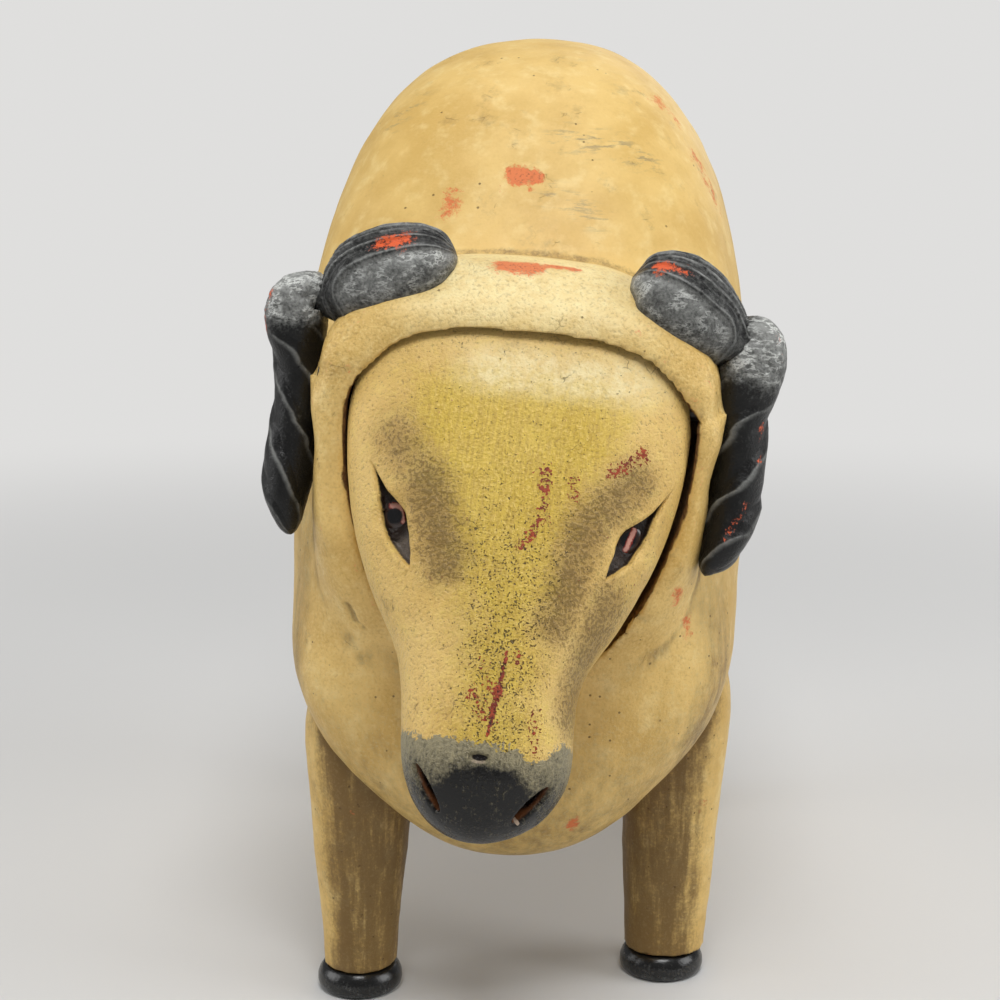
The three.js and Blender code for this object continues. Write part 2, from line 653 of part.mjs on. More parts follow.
// The face block, sawn flat at the back and drilled for the pin, the stem and the eyes
const sawn = new THREE.BoxGeometry(FACE_WIDTH * 2, FACE_LENGTH * 2, FACE_LENGTH * 4);
sawn.translate(0, FACE_BACK_Y + FACE_LENGTH, FACE_TOP);
const stemFrom = new THREE.Vector3(0, FACE_BACK_Y - STEM_IN_HEAD, STEM_Z);
const stemTo = stemFrom.clone().setY(stemFrom.y + STEM_LENGTH);
const stem = solidFrom(rod(STEM_RADIUS, stemFrom, stemTo));
const stemHole = solidFrom(
  rod(STEM_RADIUS + SEAT_GAP, stemFrom.clone().setY(stemFrom.y - SEAT_GAP), stemTo),
);
let face = solidFrom(faceForm()).subtract(solidFrom(sawn)).subtract(stemHole);
const beads = [];
for (const [name, side] of BOTH_SIDES) {
  const middle = eyeMiddle(side);
  const bead = new THREE.SphereGeometry(EYE_RADIUS, EYE_SIDES, EYE_RINGS);
  const seat = new THREE.SphereGeometry(EYE_RADIUS + SEAT_GAP, EYE_SIDES, EYE_RINGS);
  face = face.subtract(solidFrom(seat.translate(middle.x, middle.y, middle.z)));
  beads.push([`eye_${name}`, solidFrom(bead.translate(middle.x, middle.y, middle.z))]);
}
face = face.subtract(pinHole);

const swinging = new THREE.Group();
swinging.position.x = SOCKET_SHIFT + FACE_OFF_CENTRE;
leaning.add(swinging);
piece(swinging, "head", face, "gold");
piece(swinging, "neck_stem", stem, "bare");
beads.forEach(([name, bead]) => piece(swinging, name, bead, "glass"));

// The weight, slid along the stem to where the head hangs level
const carried = [
  massAlongY(face, WOOD_DENSITY),
  massAlongY(stem, WOOD_DENSITY),
  ...beads.map(([, bead]) => massAlongY(bead, GLASS_DENSITY)),
];
const headMass = carried.reduce((sum, { mass }) => sum + mass, 0);
const headMoment = carried.reduce((sum, { moment }) => sum + moment, 0) - headMass * PIN_Y;
const slug = (y) => {
  const from = new THREE.Vector3(0, y - WEIGHT_LENGTH / 2, STEM_Z);
  const to = new THREE.Vector3(0, y + WEIGHT_LENGTH / 2, STEM_Z);
  return solidFrom(rod(WEIGHT_RADIUS, from, to)).subtract(stemHole.add(stem));
};
const weightMass = massAlongY(slug(stemTo.y - WEIGHT_LENGTH), IRON_DENSITY).mass;
const weightY = PIN_Y - headMoment / weightMass;
piece(swinging, "counterweight", slug(weightY), "iron");

// The bore behind the face, with room for the weight and the stem to swing
const swing = Math.max(-NOD_UP, NOD_DOWN);
const farEnd = Math.max(stemTo.y, weightY + WEIGHT_LENGTH / 2);
const boreRadius = WEIGHT_RADIUS + (farEnd - PIN_Y) * Math.sin(swing) + WEIGHT_ROOM;
const boreEnd = farEnd + (STEM_BELOW_PIN + WEIGHT_RADIUS) * Math.sin(swing) + WEIGHT_ROOM;
const bore = rod(
  boreRadius,
  new THREE.Vector3(SOCKET_SHIFT, FACE_BACK_Y - FACE_GAP, STEM_Z),
  new THREE.Vector3(SOCKET_SHIFT, boreEnd, STEM_Z),
);

// The torso and hood, carved from one block, less every hole in it
const lean = (solid) => solidFrom(geometryFrom(solid).applyMatrix4(LEANING));
let torso = solidFrom(torsoForm()).add(solidFrom(hoodForm().applyMatrix4(LEANING)));
torso = torso.subtract(lean(socket())).subtract(solidFrom(bore.applyMatrix4(LEANING)));
hoodHoles.forEach((hole) => {
  torso = torso.subtract(lean(hole));
});
torsoHoles.forEach((hole) => {
  torso = torso.subtract(hole);
});
piece(figure, "torso", torso, "tan");

// The part's frame: the middle of its box, on the ground
const box = new THREE.Box3().setFromObject(figure, true);
const part = new THREE.Group();
figure.position.set(-(box.min.x + box.max.x) / 2, -(box.min.y + box.max.y) / 2, -box.min.z);
part.add(figure);

export default part;
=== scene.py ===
"""The looks of a carved and painted wooden ram with a nodding head.

Sizes are in millimetres unless a name says otherwise, and meshes are written in metres.
The face looks along -Y, +Z is up and the ram's left is +X.
"""

import json
import logging
import math
from dataclasses import dataclass
from enum import Enum
from typing import Any, Sequence

import bmesh
import bpy
import numpy as np
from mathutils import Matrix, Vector, noise
from mathutils.bvhtree import BVHTree


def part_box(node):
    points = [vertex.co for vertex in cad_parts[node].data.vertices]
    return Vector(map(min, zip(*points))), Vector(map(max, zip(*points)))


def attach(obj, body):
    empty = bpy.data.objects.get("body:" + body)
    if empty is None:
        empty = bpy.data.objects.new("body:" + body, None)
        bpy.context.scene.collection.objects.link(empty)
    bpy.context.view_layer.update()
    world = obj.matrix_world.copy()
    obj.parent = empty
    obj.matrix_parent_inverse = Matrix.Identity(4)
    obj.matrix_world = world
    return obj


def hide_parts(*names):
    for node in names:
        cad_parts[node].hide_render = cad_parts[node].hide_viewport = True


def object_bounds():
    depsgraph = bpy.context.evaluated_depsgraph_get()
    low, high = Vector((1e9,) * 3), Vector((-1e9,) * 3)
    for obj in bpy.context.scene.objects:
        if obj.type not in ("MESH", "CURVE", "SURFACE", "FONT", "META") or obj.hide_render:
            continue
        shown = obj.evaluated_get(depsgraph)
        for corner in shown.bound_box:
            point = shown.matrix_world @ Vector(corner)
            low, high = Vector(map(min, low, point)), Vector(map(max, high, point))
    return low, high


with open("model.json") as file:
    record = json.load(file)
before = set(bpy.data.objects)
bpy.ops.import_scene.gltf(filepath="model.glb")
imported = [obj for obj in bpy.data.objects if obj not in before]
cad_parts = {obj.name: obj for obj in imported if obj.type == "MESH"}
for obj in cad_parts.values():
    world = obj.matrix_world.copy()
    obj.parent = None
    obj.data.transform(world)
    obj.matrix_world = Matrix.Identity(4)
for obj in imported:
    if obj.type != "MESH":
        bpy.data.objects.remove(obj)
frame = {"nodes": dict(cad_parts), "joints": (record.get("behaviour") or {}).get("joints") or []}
CAD_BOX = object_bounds()

LOG = logging.getLogger("ram")
MM = 0.001
Array = np.ndarray
Colour = tuple[float, float, float]
Point = tuple[float, float, float]
Pair = tuple[float, float]
Graph = tuple[tuple[float, ...], tuple[float, ...]]
Layer = tuple[float, float, int]
Sockets = dict[Any, Any]
NEARLY_NONE = 1e-6


class Body(Enum):
    """The bodies that pieces ride on."""

    FIGURE = "figure"
    HEAD = "head"


class Slot(Enum):
    """The record's material slots that carved pieces have."""

    TAN = "tan_paint"
    FACE = "face_paint"
    BLACK = "black_paint"
    BEAD = "eye_bead"


class Side(Enum):
    """The ram's own right and left, and which way each lies across."""

    RIGHT = -1
    LEFT = 1

    @property
    def word(self) -> str:
        """The side's name, as the nodes have it."""
        return self.name.lower()


def fade(values: Array, full: float, none: float) -> Array:
    """A smooth step that is 1 at full and beyond it, and 0 at none.

    Args:
        values: The numbers to map.
        full: Where the result is 1.
        none: Where the result is 0.

    Returns:
        Numbers from 0 to 1.
    """
    t = np.clip((values - none) / (full - none), 0, 1)
    return t * t * (3 - 2 * t)


def share_along(points: Array, start: Sequence[float], end: Sequence[float]) -> Array:
    """How far along a line each point lies, from 0 at its start to 1 at its end."""
    a, along = np.array(start, float), np.subtract(end, start)
    return np.clip((points - a) @ along / max(float(along @ along), NEARLY_NONE), 0, 1)


def to_segment(points: Array, start: Sequence[float], end: Sequence[float]) -> Array:
    """Distances from points to the line between two ends.

    Args:
        points: Rows of coordinates.
        start: One end.
        end: The other end.

    Returns:
        One distance for each row.
    """
    nearest = np.array(start) + share_along(points, start, end)[:, None] * np.subtract(end, start)
    return np.linalg.norm(points - nearest, axis=1)


def lumps(points: Array, size: float, seed: int) -> Array:
    """Smooth random relief, about -1 to 1.

    Args:
        points: Where to read it.
        size: The size of one bump.
        seed: Which of many patterns.

    Returns:
        One number for each point.
    """
    shift = Vector((17.3 * seed, -9.1 * seed, 5.7 * seed))
    return np.array([noise.noise(Vector(p) + shift) for p in points / size])


def relief(points: Array, layers: Sequence[Layer]) -> Array:
    """The sum of several layers of lumps.

    Args:
        points: Where to read it.
        layers: Each layer's height, the size of its bumps and its seed.

    Returns:
        One height for each point.
    """
    return np.sum([height * lumps(points, size, seed) for height, size, seed in layers], axis=0)


def dots(first: Array, second: Array) -> Array:
    """The dot product of each pair of rows."""
    return np.einsum("ij,ij->i", first, second)


def unit(direction: Array) -> Array:
    """A direction with a length of 1."""
    return direction / np.linalg.norm(direction)


def in_mm(corners: Sequence[Sequence[float]]) -> tuple[Array, Array]:
    """The two corners of a box that is given in metres."""
    low, high = (np.array(corner) / MM for corner in corners)
    return low, high


def gathered(items: Any, name: str, width: int, kind: type = np.float32) -> Array:
    """One property of all items in a mesh's list.

    Args:
        items: The list.
        name: The property's name.
        width: How many numbers each item has.
        kind: The type of the numbers.

    Returns:
        The numbers, in rows where an item has several.
    """
    flat = np.empty(len(items) * width, kind)
    items.foreach_get(name, flat)
    return flat.reshape(-1, width) if width > 1 else flat


def linked(name: str, data: bpy.types.ID) -> bpy.types.Object:
    """A new object in the scene."""
    holder = bpy.data.objects.new(name, data)
    bpy.context.scene.collection.objects.link(holder)
    return holder


class Lean:
    """The leaning frame of hood, horns and face, about the nod pin."""

    CROWN = np.array([0.85, 6.4, 11.5])
    PITCH = math.radians(24.7)

    def __init__(self, joint: dict[str, Any]) -> None:
        """Takes the frame from the hinge's place and axis."""
        self.pin = np.array(joint["pos_m"]) / MM
        across = np.array(joint["axis"])
        back = np.array([0.0, 1.0, 0.0])
        self.axes = np.stack([across, back, np.cross(across, back)])
        sine, cosine = math.sin(self.PITCH), math.cos(self.PITCH)
        self.face_axes = np.array([[1, 0, 0], [0, -sine, -cosine], [0, -cosine, sine]])

    def local(self, points: Array) -> Array:
        """Points as across, back and up from the pin."""
        return (points - self.pin) @ self.axes.T

    def world(self, local: Array) -> Array:
        """The reverse of local."""
        return self.pin + np.asarray(local, float) @ self.axes

    def face(self, points: Array) -> Array:
        """Points as across the face, down it and forward of its middle."""
        return (self.local(points) - self.CROWN) @ self.face_axes.T


LEAN = Lean(frame["joints"][0])


class Surface:
    """A surface to measure to, in millimetres."""

    def __init__(self, points: Array, faces: Sequence[Sequence[int]]) -> None:
        """Builds the search tree."""
        self.tree = BVHTree.FromPolygons([Vector(p) for p in points], faces)

    @classmethod
    def of_node(cls, node: str) -> "Surface":
        """The surface of a CAD node."""
        mesh = frame["nodes"][node].data
        points = np.array([v.co for v in mesh.vertices]) / MM
        return cls(points, [tuple(p.vertices) for p in mesh.polygons])

    def nearest(self, points: Array) -> tuple[Array, Array, Array]:
        """The nearest places on the surface.

        Args:
            points: Where to measure from.

        Returns:
            The places, the surface's normals there, and the distances.
        """
        found = [self.tree.find_nearest(Vector(p)) for p in points]
        places = np.array([f[0] for f in found])
        normals = np.array([f[1] for f in found])
        return places, normals, np.array([f[3] for f in found])


class Carving:
    """A fine mesh that is carved and marked as arrays in millimetres.

    An edge is sharp from an angle in degrees. BEND is how much two neighbours may turn apart and
    still count as one face. FRO_AND_TO is how far an edge's points are drawn out and in again.
    """

    OCTREE_DEPTH = 8
    SHARP = 38.0
    BEND = 0.05
    FRO_AND_TO = (-0.53, 0.5)

    def __init__(self, mesh: bpy.types.Mesh) -> None:
        """Reads the mesh's points and edges."""
        self.mesh = mesh
        self.points = gathered(mesh.vertices, "co", 3).astype(float) / MM
        self.edges = gathered(mesh.edges, "vertices", 2, np.int32)
        self.degree = np.bincount(self.edges.ravel(), minlength=len(self.points))

    @classmethod
    def of_node(cls, node: str, scale: float) -> "Carving":
        """An even, closed mesh over a CAD node, with its edges kept.

        Args:
            node: The node's name.
            scale: How fine it is, from 0 to 1.

        Returns:
            The carving.
        """
        source = frame["nodes"][node].data.copy()
        work = bmesh.new()
        work.from_mesh(source)
        bmesh.ops.remove_doubles(work, verts=work.verts, dist=NEARLY_NONE)
        work.to_mesh(source)
        work.free()
        holder = linked(node + "_blank", source)
        even = holder.modifiers.new("even", "REMESH")
        even.mode = "SHARP"
        even.octree_depth = cls.OCTREE_DEPTH
        even.scale = scale
        even.sharpness = 1.0
        even.use_remove_disconnected = False
        mesh = evaluated_mesh(holder)
        mesh.materials.clear()
        return cls(mesh)

    def write(self) -> None:
        """Puts the points back into the mesh."""
        self.mesh.vertices.foreach_set("co", (self.points * MM).astype(np.float32).ravel())
        self.mesh.update()

    def normals(self) -> Array:
        """The outward direction at each point."""
        self.write()
        return gathered(self.mesh.vertices, "normal", 3).astype(float)

    def average(self, values: Array) -> Array:
        """The mean over each point's neighbours, for rows of numbers."""
        one, other = self.edges.T
        count = len(self.points)
        total = [np.bincount(one, v[other], count) + np.bincount(other, v[one], count) for v in values.T]
        return np.stack(total, axis=1) / np.maximum(self.degree, 1)[:, None]

    def soften(self, values: Array, rounds: int) -> Array:
        """Values evened out over the mesh.

        Args:
            values: One number or one row of numbers for each point.
            rounds: How often each is drawn halfway to its neighbours' mean.

        Returns:
            The evened values, in the same shape.
        """
        rows = values if values.ndim > 1 else values[:, None]
        for _ in range(rounds):
            rows = (rows + self.average(rows)) / 2
        return rows if values.ndim > 1 else rows[:, 0]

    def creases(self, angle: float) -> Array:
        """Which edges turn by more than an angle in degrees."""
        corner_edges = gathered(self.mesh.loops, "edge_index", 1, np.int32)
        corners = gathered(self.mesh.polygons, "loop_total", 1, np.int32)
        normals = np.repeat(gathered(self.mesh.polygons, "normal", 3), corners, axis=0)
        both = [np.bincount(corner_edges, n, len(self.edges)) for n in normals.T]
        return np.linalg.norm(both, axis=0) < 2 * math.cos(math.radians(angle / 2))

    def fair(self, rounds: int, hold: Array) -> None:
        """Evens the facets out, but not across edges, and gives back the girth that this costs.

        Points on a sharp edge are drawn along it alone, to and fro, so that it runs smoothly and
        keeps its place.

        Args:
            rounds: How often the points are drawn halfway to their neighbours.
            hold: 1 where the shape is kept, 0 where it is free.
        """
        before = self.points.copy()
        normals = self.normals()
        one, other = self.edges.T
        count = len(before)
        crease = self.creases(self.SHARP)
        on_edge = np.bincount(self.edges[crease].ravel(), minlength=count) > 0
        pull = np.exp((dots(normals[one], normals[other]) - 1) / self.BEND)
        pull[on_edge[one] | on_edge[other]] = 1.0
        to_one = np.where(on_edge[one] & ~crease, 0.0, pull)
        to_other = np.where(on_edge[other] & ~crease, 0.0, pull)
        share = np.bincount(one, to_one, count) + np.bincount(other, to_other, count)
        free = ((1 - hold) / np.maximum(share, 1.0))[:, None]
        for turn in range(rounds):
            along = (self.points[other] - self.points[one]).T
            drawn = [np.bincount(one, v * to_one, count) for v in along]
            total = [d - np.bincount(other, v * to_other, count) for d, v in zip(drawn, along)]
            pace = np.where(on_edge & (turn % 2 == 1), *self.FRO_AND_TO)[:, None]
            self.points += free * pace * np.stack(total, axis=1)
        normals = self.normals()
        lost = dots(before - self.points, normals)
        self.points += normals * self.soften(lost, rounds // 2)[:, None]

    def ease(self, rounds: int, hold: Array) -> None:
        """Rounds the edges off a little.

        Args:
            rounds: How far.
            hold: 1 where the edges are kept, 0 where they are free.
        """
        self.points += (self.soften(self.points, rounds) - self.points) * (1 - hold)[:, None]

    def push(self, distance: Array) -> None:
        """Moves each point out along its normal."""
        self.points += self.normals() * distance[:, None]

    def stand(self, rounds: int) -> Array:
        """How far each point stands out of its surroundings."""
        return dots(self.points - self.soften(self.points, rounds), self.normals())

    def clip(self) -> None:
        """Keeps every point inside the CAD model's box."""
        self.points = np.clip(self.points, *in_mm(CAD_BOX))

    def read(self, name: str) -> Array:
        """The numbers that the mesh carries under a name."""
        return gathered(self.mesh.attributes[name].data, "value", 1).astype(float)

    def finer(self, here: Array) -> "Carving":
        """The same carving with each face cut in four where it needs more detail.

        Args:
            here: Which points need it.

        Returns:
            The finer carving.
        """
        self.write()
        work = bmesh.new()
        work.from_mesh(self.mesh)
        edges = [e for e in work.edges if all(here[v.index] for v in e.verts)]
        bmesh.ops.subdivide_edges(work, edges=edges, cuts=1, use_grid_fill=True)
        work.to_mesh(self.mesh)
        work.free()
        return Carving(self.mesh)

    def mark(self, **marks: Array | float) -> None:
        """Stores a number, or a row of three, for each point under each name.

        Args:
            marks: The numbers by name, or one number that is the same all over.
        """
        for name, given in marks.items():
            values = np.full(len(self.points), given) if np.isscalar(given) else given
            kind, key = ("FLOAT", "value") if values.ndim == 1 else ("FLOAT_VECTOR", "vector")
            attribute = self.mesh.attributes.new(name, kind, "POINT")
            attribute.data.foreach_set(key, values.astype(np.float32).ravel())

    def surface(self, keep: Array) -> Surface:
        """The faces whose points are all kept, as a surface to measure to."""
        faces = [tuple(p.vertices) for p in self.mesh.polygons]
        return Surface(self.points, [f for f in faces if keep[list(f)].all()])

    def set_up(self, node: str, finish: bpy.types.Material, body: Body, slot: Slot) -> None:
        """Makes the finished carving the piece that stands for a CAD node.

        Args:
            node: The node that it replaces.
            finish: Its material.
            body: The body that it rides on.
            slot: The record's slot of its finish; not used.
        """
        self.write()
        self.mesh.materials.clear()
        self.mesh.materials.append(finish)
        self.mesh.shade_smooth()
        piece = linked(node + "_carved", self.mesh)
        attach(piece, body.value)
        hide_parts(node)
        LOG.info("%s: %d faces on %s", piece.name, len(self.mesh.polygons), body.value)


def evaluated_mesh(holder: bpy.types.Object) -> bpy.types.Mesh:
    """The plain mesh of an object with its modifiers, which takes the object away."""
    bpy.context.view_layer.update()
    graph = bpy.context.evaluated_depsgraph_get()
    mesh = bpy.data.meshes.new_from_object(holder.evaluated_get(graph))
    bpy.data.objects.remove(holder)
    return mesh


class Value:
    """A number on a node's socket, which takes Python arithmetic."""

    def __init__(self, bench: "Bench", socket: bpy.types.NodeSocket) -> None:
        """Holds the socket and the tree that it is in."""
        self.bench = bench
        self.socket = socket

    def _by(self, operation: str, first: Any, second: Any) -> "Value":
        """A Math node on two numbers or values."""
        return self.bench.value("ShaderNodeMath", {0: first, 1: second}, operation=operation)

    def __add__(self, other: Any) -> "Value":
        """Sum."""
        return self._by("ADD", self, other)

    __radd__ = __add__

    def __sub__(self, other: Any) -> "Value":
        """Difference."""
        return self._by("SUBTRACT", self, other)

    def __rsub__(self, other: Any) -> "Value":
        """Difference, from the other side."""
        return self._by("SUBTRACT", other, self)

    def __mul__(self, other: Any) -> "Value":
        """Product."""
        return self._by("MULTIPLY", self, other)

    __rmul__ = __mul__

    def __truediv__(self, other: Any) -> "Value":
        """Quotient."""
        return self._by("DIVIDE", self, other)

    def __pow__(self, other: Any) -> "Value":
        """Power."""
        return self._by("POWER", self, other)

    def most(self, other: Any) -> "Value":
        """The larger of the two."""
        return self._by("MAXIMUM", self, other)

    def least(self, other: Any) -> "Value":
        """The smaller of the two."""
        return self._by("MINIMUM", self, other)

    def part(self) -> "Value":
        """What is left past the whole number."""
        return self._by("FRACT", self, 0.0)

    def size(self) -> "Value":
        """The number without its sign."""
        return self._by("ABSOLUTE", self, 0.0)

    def step(self, low: float, high: float) -> "Value":
        """A smooth step from 0 at low to 1 at high."""
        sockets = {0: self, 1: low, 2: high}
        return self.bench.value("ShaderNodeMapRange", sockets, interpolation_type="SMOOTHSTEP")


class Bench:
    """A node tree under construction."""

    def __init__(self, tree: bpy.types.NodeTree) -> None:
        """Starts on an empty tree."""
        self.tree = tree
        tree.nodes.clear()

    def add(self, kind: str, sockets: Sockets | None = None, **settings: Any) -> bpy.types.Node:
        """Adds any node.

        Args:
            kind: The node's type.
            sockets: Numbers, values or links for its inputs, by name or place.
            settings: Its own settings, which are set first.

        Returns:
            The node.
        """
        node = self.tree.nodes.new(kind)
        for name, setting in settings.items():
            setattr(node, name, setting)
        for key, given in (sockets or {}).items():
            given = given.socket if isinstance(given, Value) else given
            if isinstance(given, bpy.types.NodeSocket):
                self.tree.links.new(given, node.inputs[key])
            else:
                node.inputs[key].default_value = given
        return node

    def value(self, kind: str, sockets: Sockets | None = None, out: Any = 0, **settings: Any) -> Value:
        """Adds any node and takes one output as a number."""
        return Value(self, self.add(kind, sockets, **settings).outputs[out])

    def vector(self, operation: str, *given: Any) -> bpy.types.NodeSocket:
        """A Vector Math node's vector."""
        node = self.add("ShaderNodeVectorMath", dict(enumerate(given)), operation=operation)
        return node.outputs["Vector"]

    def scaled(self, vector: Any, by: Any) -> bpy.types.NodeSocket:
        """A vector times a number."""
        node = self.add("ShaderNodeVectorMath", {0: vector, "Scale": by}, operation="SCALE")
        return node.outputs["Vector"]

    def dot(self, first: bpy.types.NodeSocket, second: Any) -> Value:
        """The dot product of two vectors."""
        sockets = {0: first, 1: second}
        return self.value("ShaderNodeVectorMath", sockets, "Value", operation="DOT_PRODUCT")

    def noise(self, vector: Any, size: float, detail: float = 2.0, rough: float = 0.5) -> Value:
        """Noise from 0 to 1.

        Args:
            vector: Where to read it.
            size: The size of one bump, in the vector's units.
            detail: How many finer layers it has.
            rough: How strong they are.

        Returns:
            The noise.
        """
        sockets = {"Vector": vector, "Scale": 1 / size, "Detail": detail, "Roughness": rough}
        return self.value("ShaderNodeTexNoise", sockets)


class PaintBench(Bench):
    """The node tree of one material."""

    def __init__(self, name: str) -> None:
        """Starts a material of that name."""
        self.material = bpy.data.materials.new(name)
        self.material.use_nodes = True
        super().__init__(self.material.node_tree)
        place = self.add("ShaderNodeTexCoord").outputs["Object"]
        self.place = self.scaled(place, 1 / MM)

    def read(self, name: str) -> Value:
        """A number that was marked on the mesh."""
        return self.value("ShaderNodeAttribute", out="Fac", attribute_name=name)

    def read_vector(self, name: str) -> bpy.types.NodeSocket:
        """A row of three that was marked on the mesh."""
        return self.add("ShaderNodeAttribute", attribute_name=name).outputs["Vector"]

    def mix(self, factor: Any, first: Any, second: Any) -> bpy.types.NodeSocket:
        """A colour between two.

        Args:
            factor: 0 for the first, 1 for the second.
            first: A colour or a link.
            second: A colour or a link.

        Returns:
            The colour.
        """
        pair = [c if isinstance(c, bpy.types.NodeSocket) else (*c, 1.0) for c in (first, second)]
        sockets = {0: factor, 6: pair[0], 7: pair[1]}
        return self.add("ShaderNodeMix", sockets, data_type="RGBA").outputs[2]

    def specks(self, size: float, share: Any, reach: float) -> Value:
        """Small round specks, scattered.

        Args:
            size: The spacing of the cells that they lie in.
            share: How many of the cells have one.
            reach: A speck's radius, as a share of its cell.

        Returns:
            1 on a speck, 0 elsewhere.
        """
        sockets = {"Vector": self.place, "Scale": 1 / size}
        cell = self.add("ShaderNodeTexVoronoi", sockets)
        luck = self.value("ShaderNodeSeparateColor", {0: cell.outputs["Color"]})
        chosen = (share - luck).step(0.0, 0.02)
        return chosen * Value(self, cell.outputs["Distance"]).step(reach, reach * 0.6)

    def finish(
        self, colour: Any, rough: Any, height: Value, depth: float, **constants: float
    ) -> bpy.types.Material:
        """Ends the tree in one shader.

        Args:
            colour: The base colour's link.
            rough: The roughness, a number or a value.
            height: The relief, in units of depth.
            depth: The relief's unit.
            constants: Other sockets that are the same all over.

        Returns:
            The material.
        """
        bump = self.add("ShaderNodeBump", {"Height": height, "Distance": depth * MM, "Strength": 1.0})
        sockets: dict[Any, Any] = {"Base Color": colour, "Roughness": rough, "Normal": bump.outputs[0]}
        sockets.update({name.replace("_", " "): number for name, number in constants.items()})
        shader = self.add("ShaderNodeBsdfPrincipled", sockets)
        self.add("ShaderNodeOutputMaterial", {"Surface": shader.outputs[0]})
        return self.material


@dataclass(frozen=True)
class TanPaint:
    """Worn tan paint over a red undercoat, on wood."""

    name: str = "worn_tan_paint"
    light: Colour = (0.74, 0.51, 0.175)
    dark: Colour = (0.62, 0.40, 0.115)
    # The dark tone of real dirt, also used for painted shade.
    grime_and_shade: Colour = (0.13, 0.070, 0.018)
    undercoat: Colour = (0.68, 0.155, 0.045)
    undercoat_dark: Colour = (0.34, 0.055, 0.018)
    bare: Colour = (0.20, 0.10, 0.030)
    bare_dark: Colour = (0.085, 0.036, 0.011)
    smear: Colour = (0.27, 0.215, 0.115)
    pale: Colour = (0.84, 0.67, 0.31)
    highlight_tone: Colour = (0.88, 0.75, 0.40)
    fine_size: float = 0.48
    patch_size: float = 2.2
    relief_depth: float = 0.24
    shine: float = 0.35

    def top_coat(self, bench: PaintBench, fine: Value) -> bpy.types.NodeSocket:
        """The unworn paint's colour.

        Args:
            bench: The tree.
            fine: The paint's finest grain; not used here.

        Returns:
            The colour.
        """
        broad = bench.noise(bench.place, 15.0, 5.0, 0.6)
        tone = bench.mix(broad.step(0.36, 0.66), self.light, self.dark)
        tone = bench.mix(bench.noise(bench.place, 3.2, 4.0, 0.6).step(0.48, 0.75) * 0.45, tone, self.pale)
        dirty = bench.noise(bench.place, 6.0, 6.0, 0.7).step(0.56, 0.74)
        tone = bench.mix(dirty * 0.3, tone, self.grime_and_shade)
        drawn = bench.vector("MULTIPLY", bench.place, (0.22, 0.5, 1.3))
        smear = bench.read("smear") * bench.noise(drawn, 1.3, 6.0, 0.7).step(0.5, 0.62)
        return bench.mix(smear * 0.75, tone, self.smear)

    def cracks(self, bench: PaintBench) -> Value:
        """Sparse hair cracks, 1 in a crack."""
        bent = bench.vector("ADD", bench.place, bench.scaled(self.wander(bench), 2.4))
        sockets = {"Vector": bent, "Scale": 1 / 3.6}
        edge = bench.value("ShaderNodeTexVoronoi", sockets, "Distance", feature="DISTANCE_TO_EDGE")
        here = bench.noise(bench.place, 6.0, 4.0, 0.6).step(0.6, 0.68)
        return edge.step(0.016, 0.004) * here

    def wander(self, bench: PaintBench) -> bpy.types.NodeSocket:
        """A slow drift that keeps lines from running straight."""
        sockets = {"Vector": bench.place, "Scale": 0.35, "Detail": 3.0}
        return bench.add("ShaderNodeTexNoise", sockets).outputs["Color"]

    def make(self) -> bpy.types.Material:
        """The material."""
        bench = PaintBench(self.name)
        fine = bench.noise(bench.place, self.fine_size, 2.0, 0.6)
        patchy = bench.noise(bench.place, self.patch_size, 6.0, 0.7)
        grain = bench.read("grain")
        colour = self.top_coat(bench, fine)
        # Painted highlight: a paler tone where the hood's crest is marked for it.
        colour = bench.mix(bench.read("crest_highlight") * (patchy.step(0.3, 0.7) * 0.6 + 0.35), colour, self.highlight_tone)
        # Painted shade: where a piece marks shade, the colour goes darker in vertical runs, towards the same
        # dark tone as the dirt.
        runs = bench.noise(bench.vector("MULTIPLY", bench.place, (1.0, 1.0, 0.09)), 1.9, 5.0, 0.65)
        shade = bench.read("shade") * (runs * 1.8 + 0.1) + (fine - 0.5) * 0.7 + (patchy - 0.5) * 0.6
        colour = bench.mix(shade.step(0.12, 1.0) * 0.9, colour, self.grime_and_shade)
        colour = bench.mix(fine.step(0.5, 0.7) * grain * 0.5, colour, self.pale)
        colour = bench.mix(fine.step(0.5, 0.25) * grain * 0.4, colour, self.bare)
        worn = (bench.read("wear") + (patchy - 0.5) * 1.3 + (fine - 0.5) * 0.6).step(0.44, 0.76)
        red = bench.mix(fine.step(0.25, 0.5), self.undercoat_dark, self.undercoat)
        colour = bench.mix(worn * 0.9, colour, red)
        crack = self.cracks(bench)
        speck = bench.specks(1.5, 0.08 + bench.read("shade") * 0.3, 0.16)
        colour = bench.mix(speck.most(crack * 0.5) * 0.7, colour, self.grime_and_shade)
        raw = (bench.read("raw") + (fine - 0.5) * 0.3).step(0.35, 0.65)
        streak = bench.noise(bench.place, 0.8, 4.0)
        colour = bench.mix(raw, colour, bench.mix(streak.step(0.3, 0.7), self.bare, self.bare_dark))
        rough = 0.5 - grain * 0.08 + (patchy - 0.5) * 0.3 + worn * 0.12 + raw * 0.35
        lumpy = bench.noise(bench.place, 1.3, 3.0, 0.6)
        height = (fine * 0.9 + lumpy * 0.8) * (grain * 0.85 + 0.1) - worn * 0.3 - speck * 0.6 - crack * 0.3
        return bench.finish(colour, rough, height, self.relief_depth, Specular_IOR_Level=self.shine)


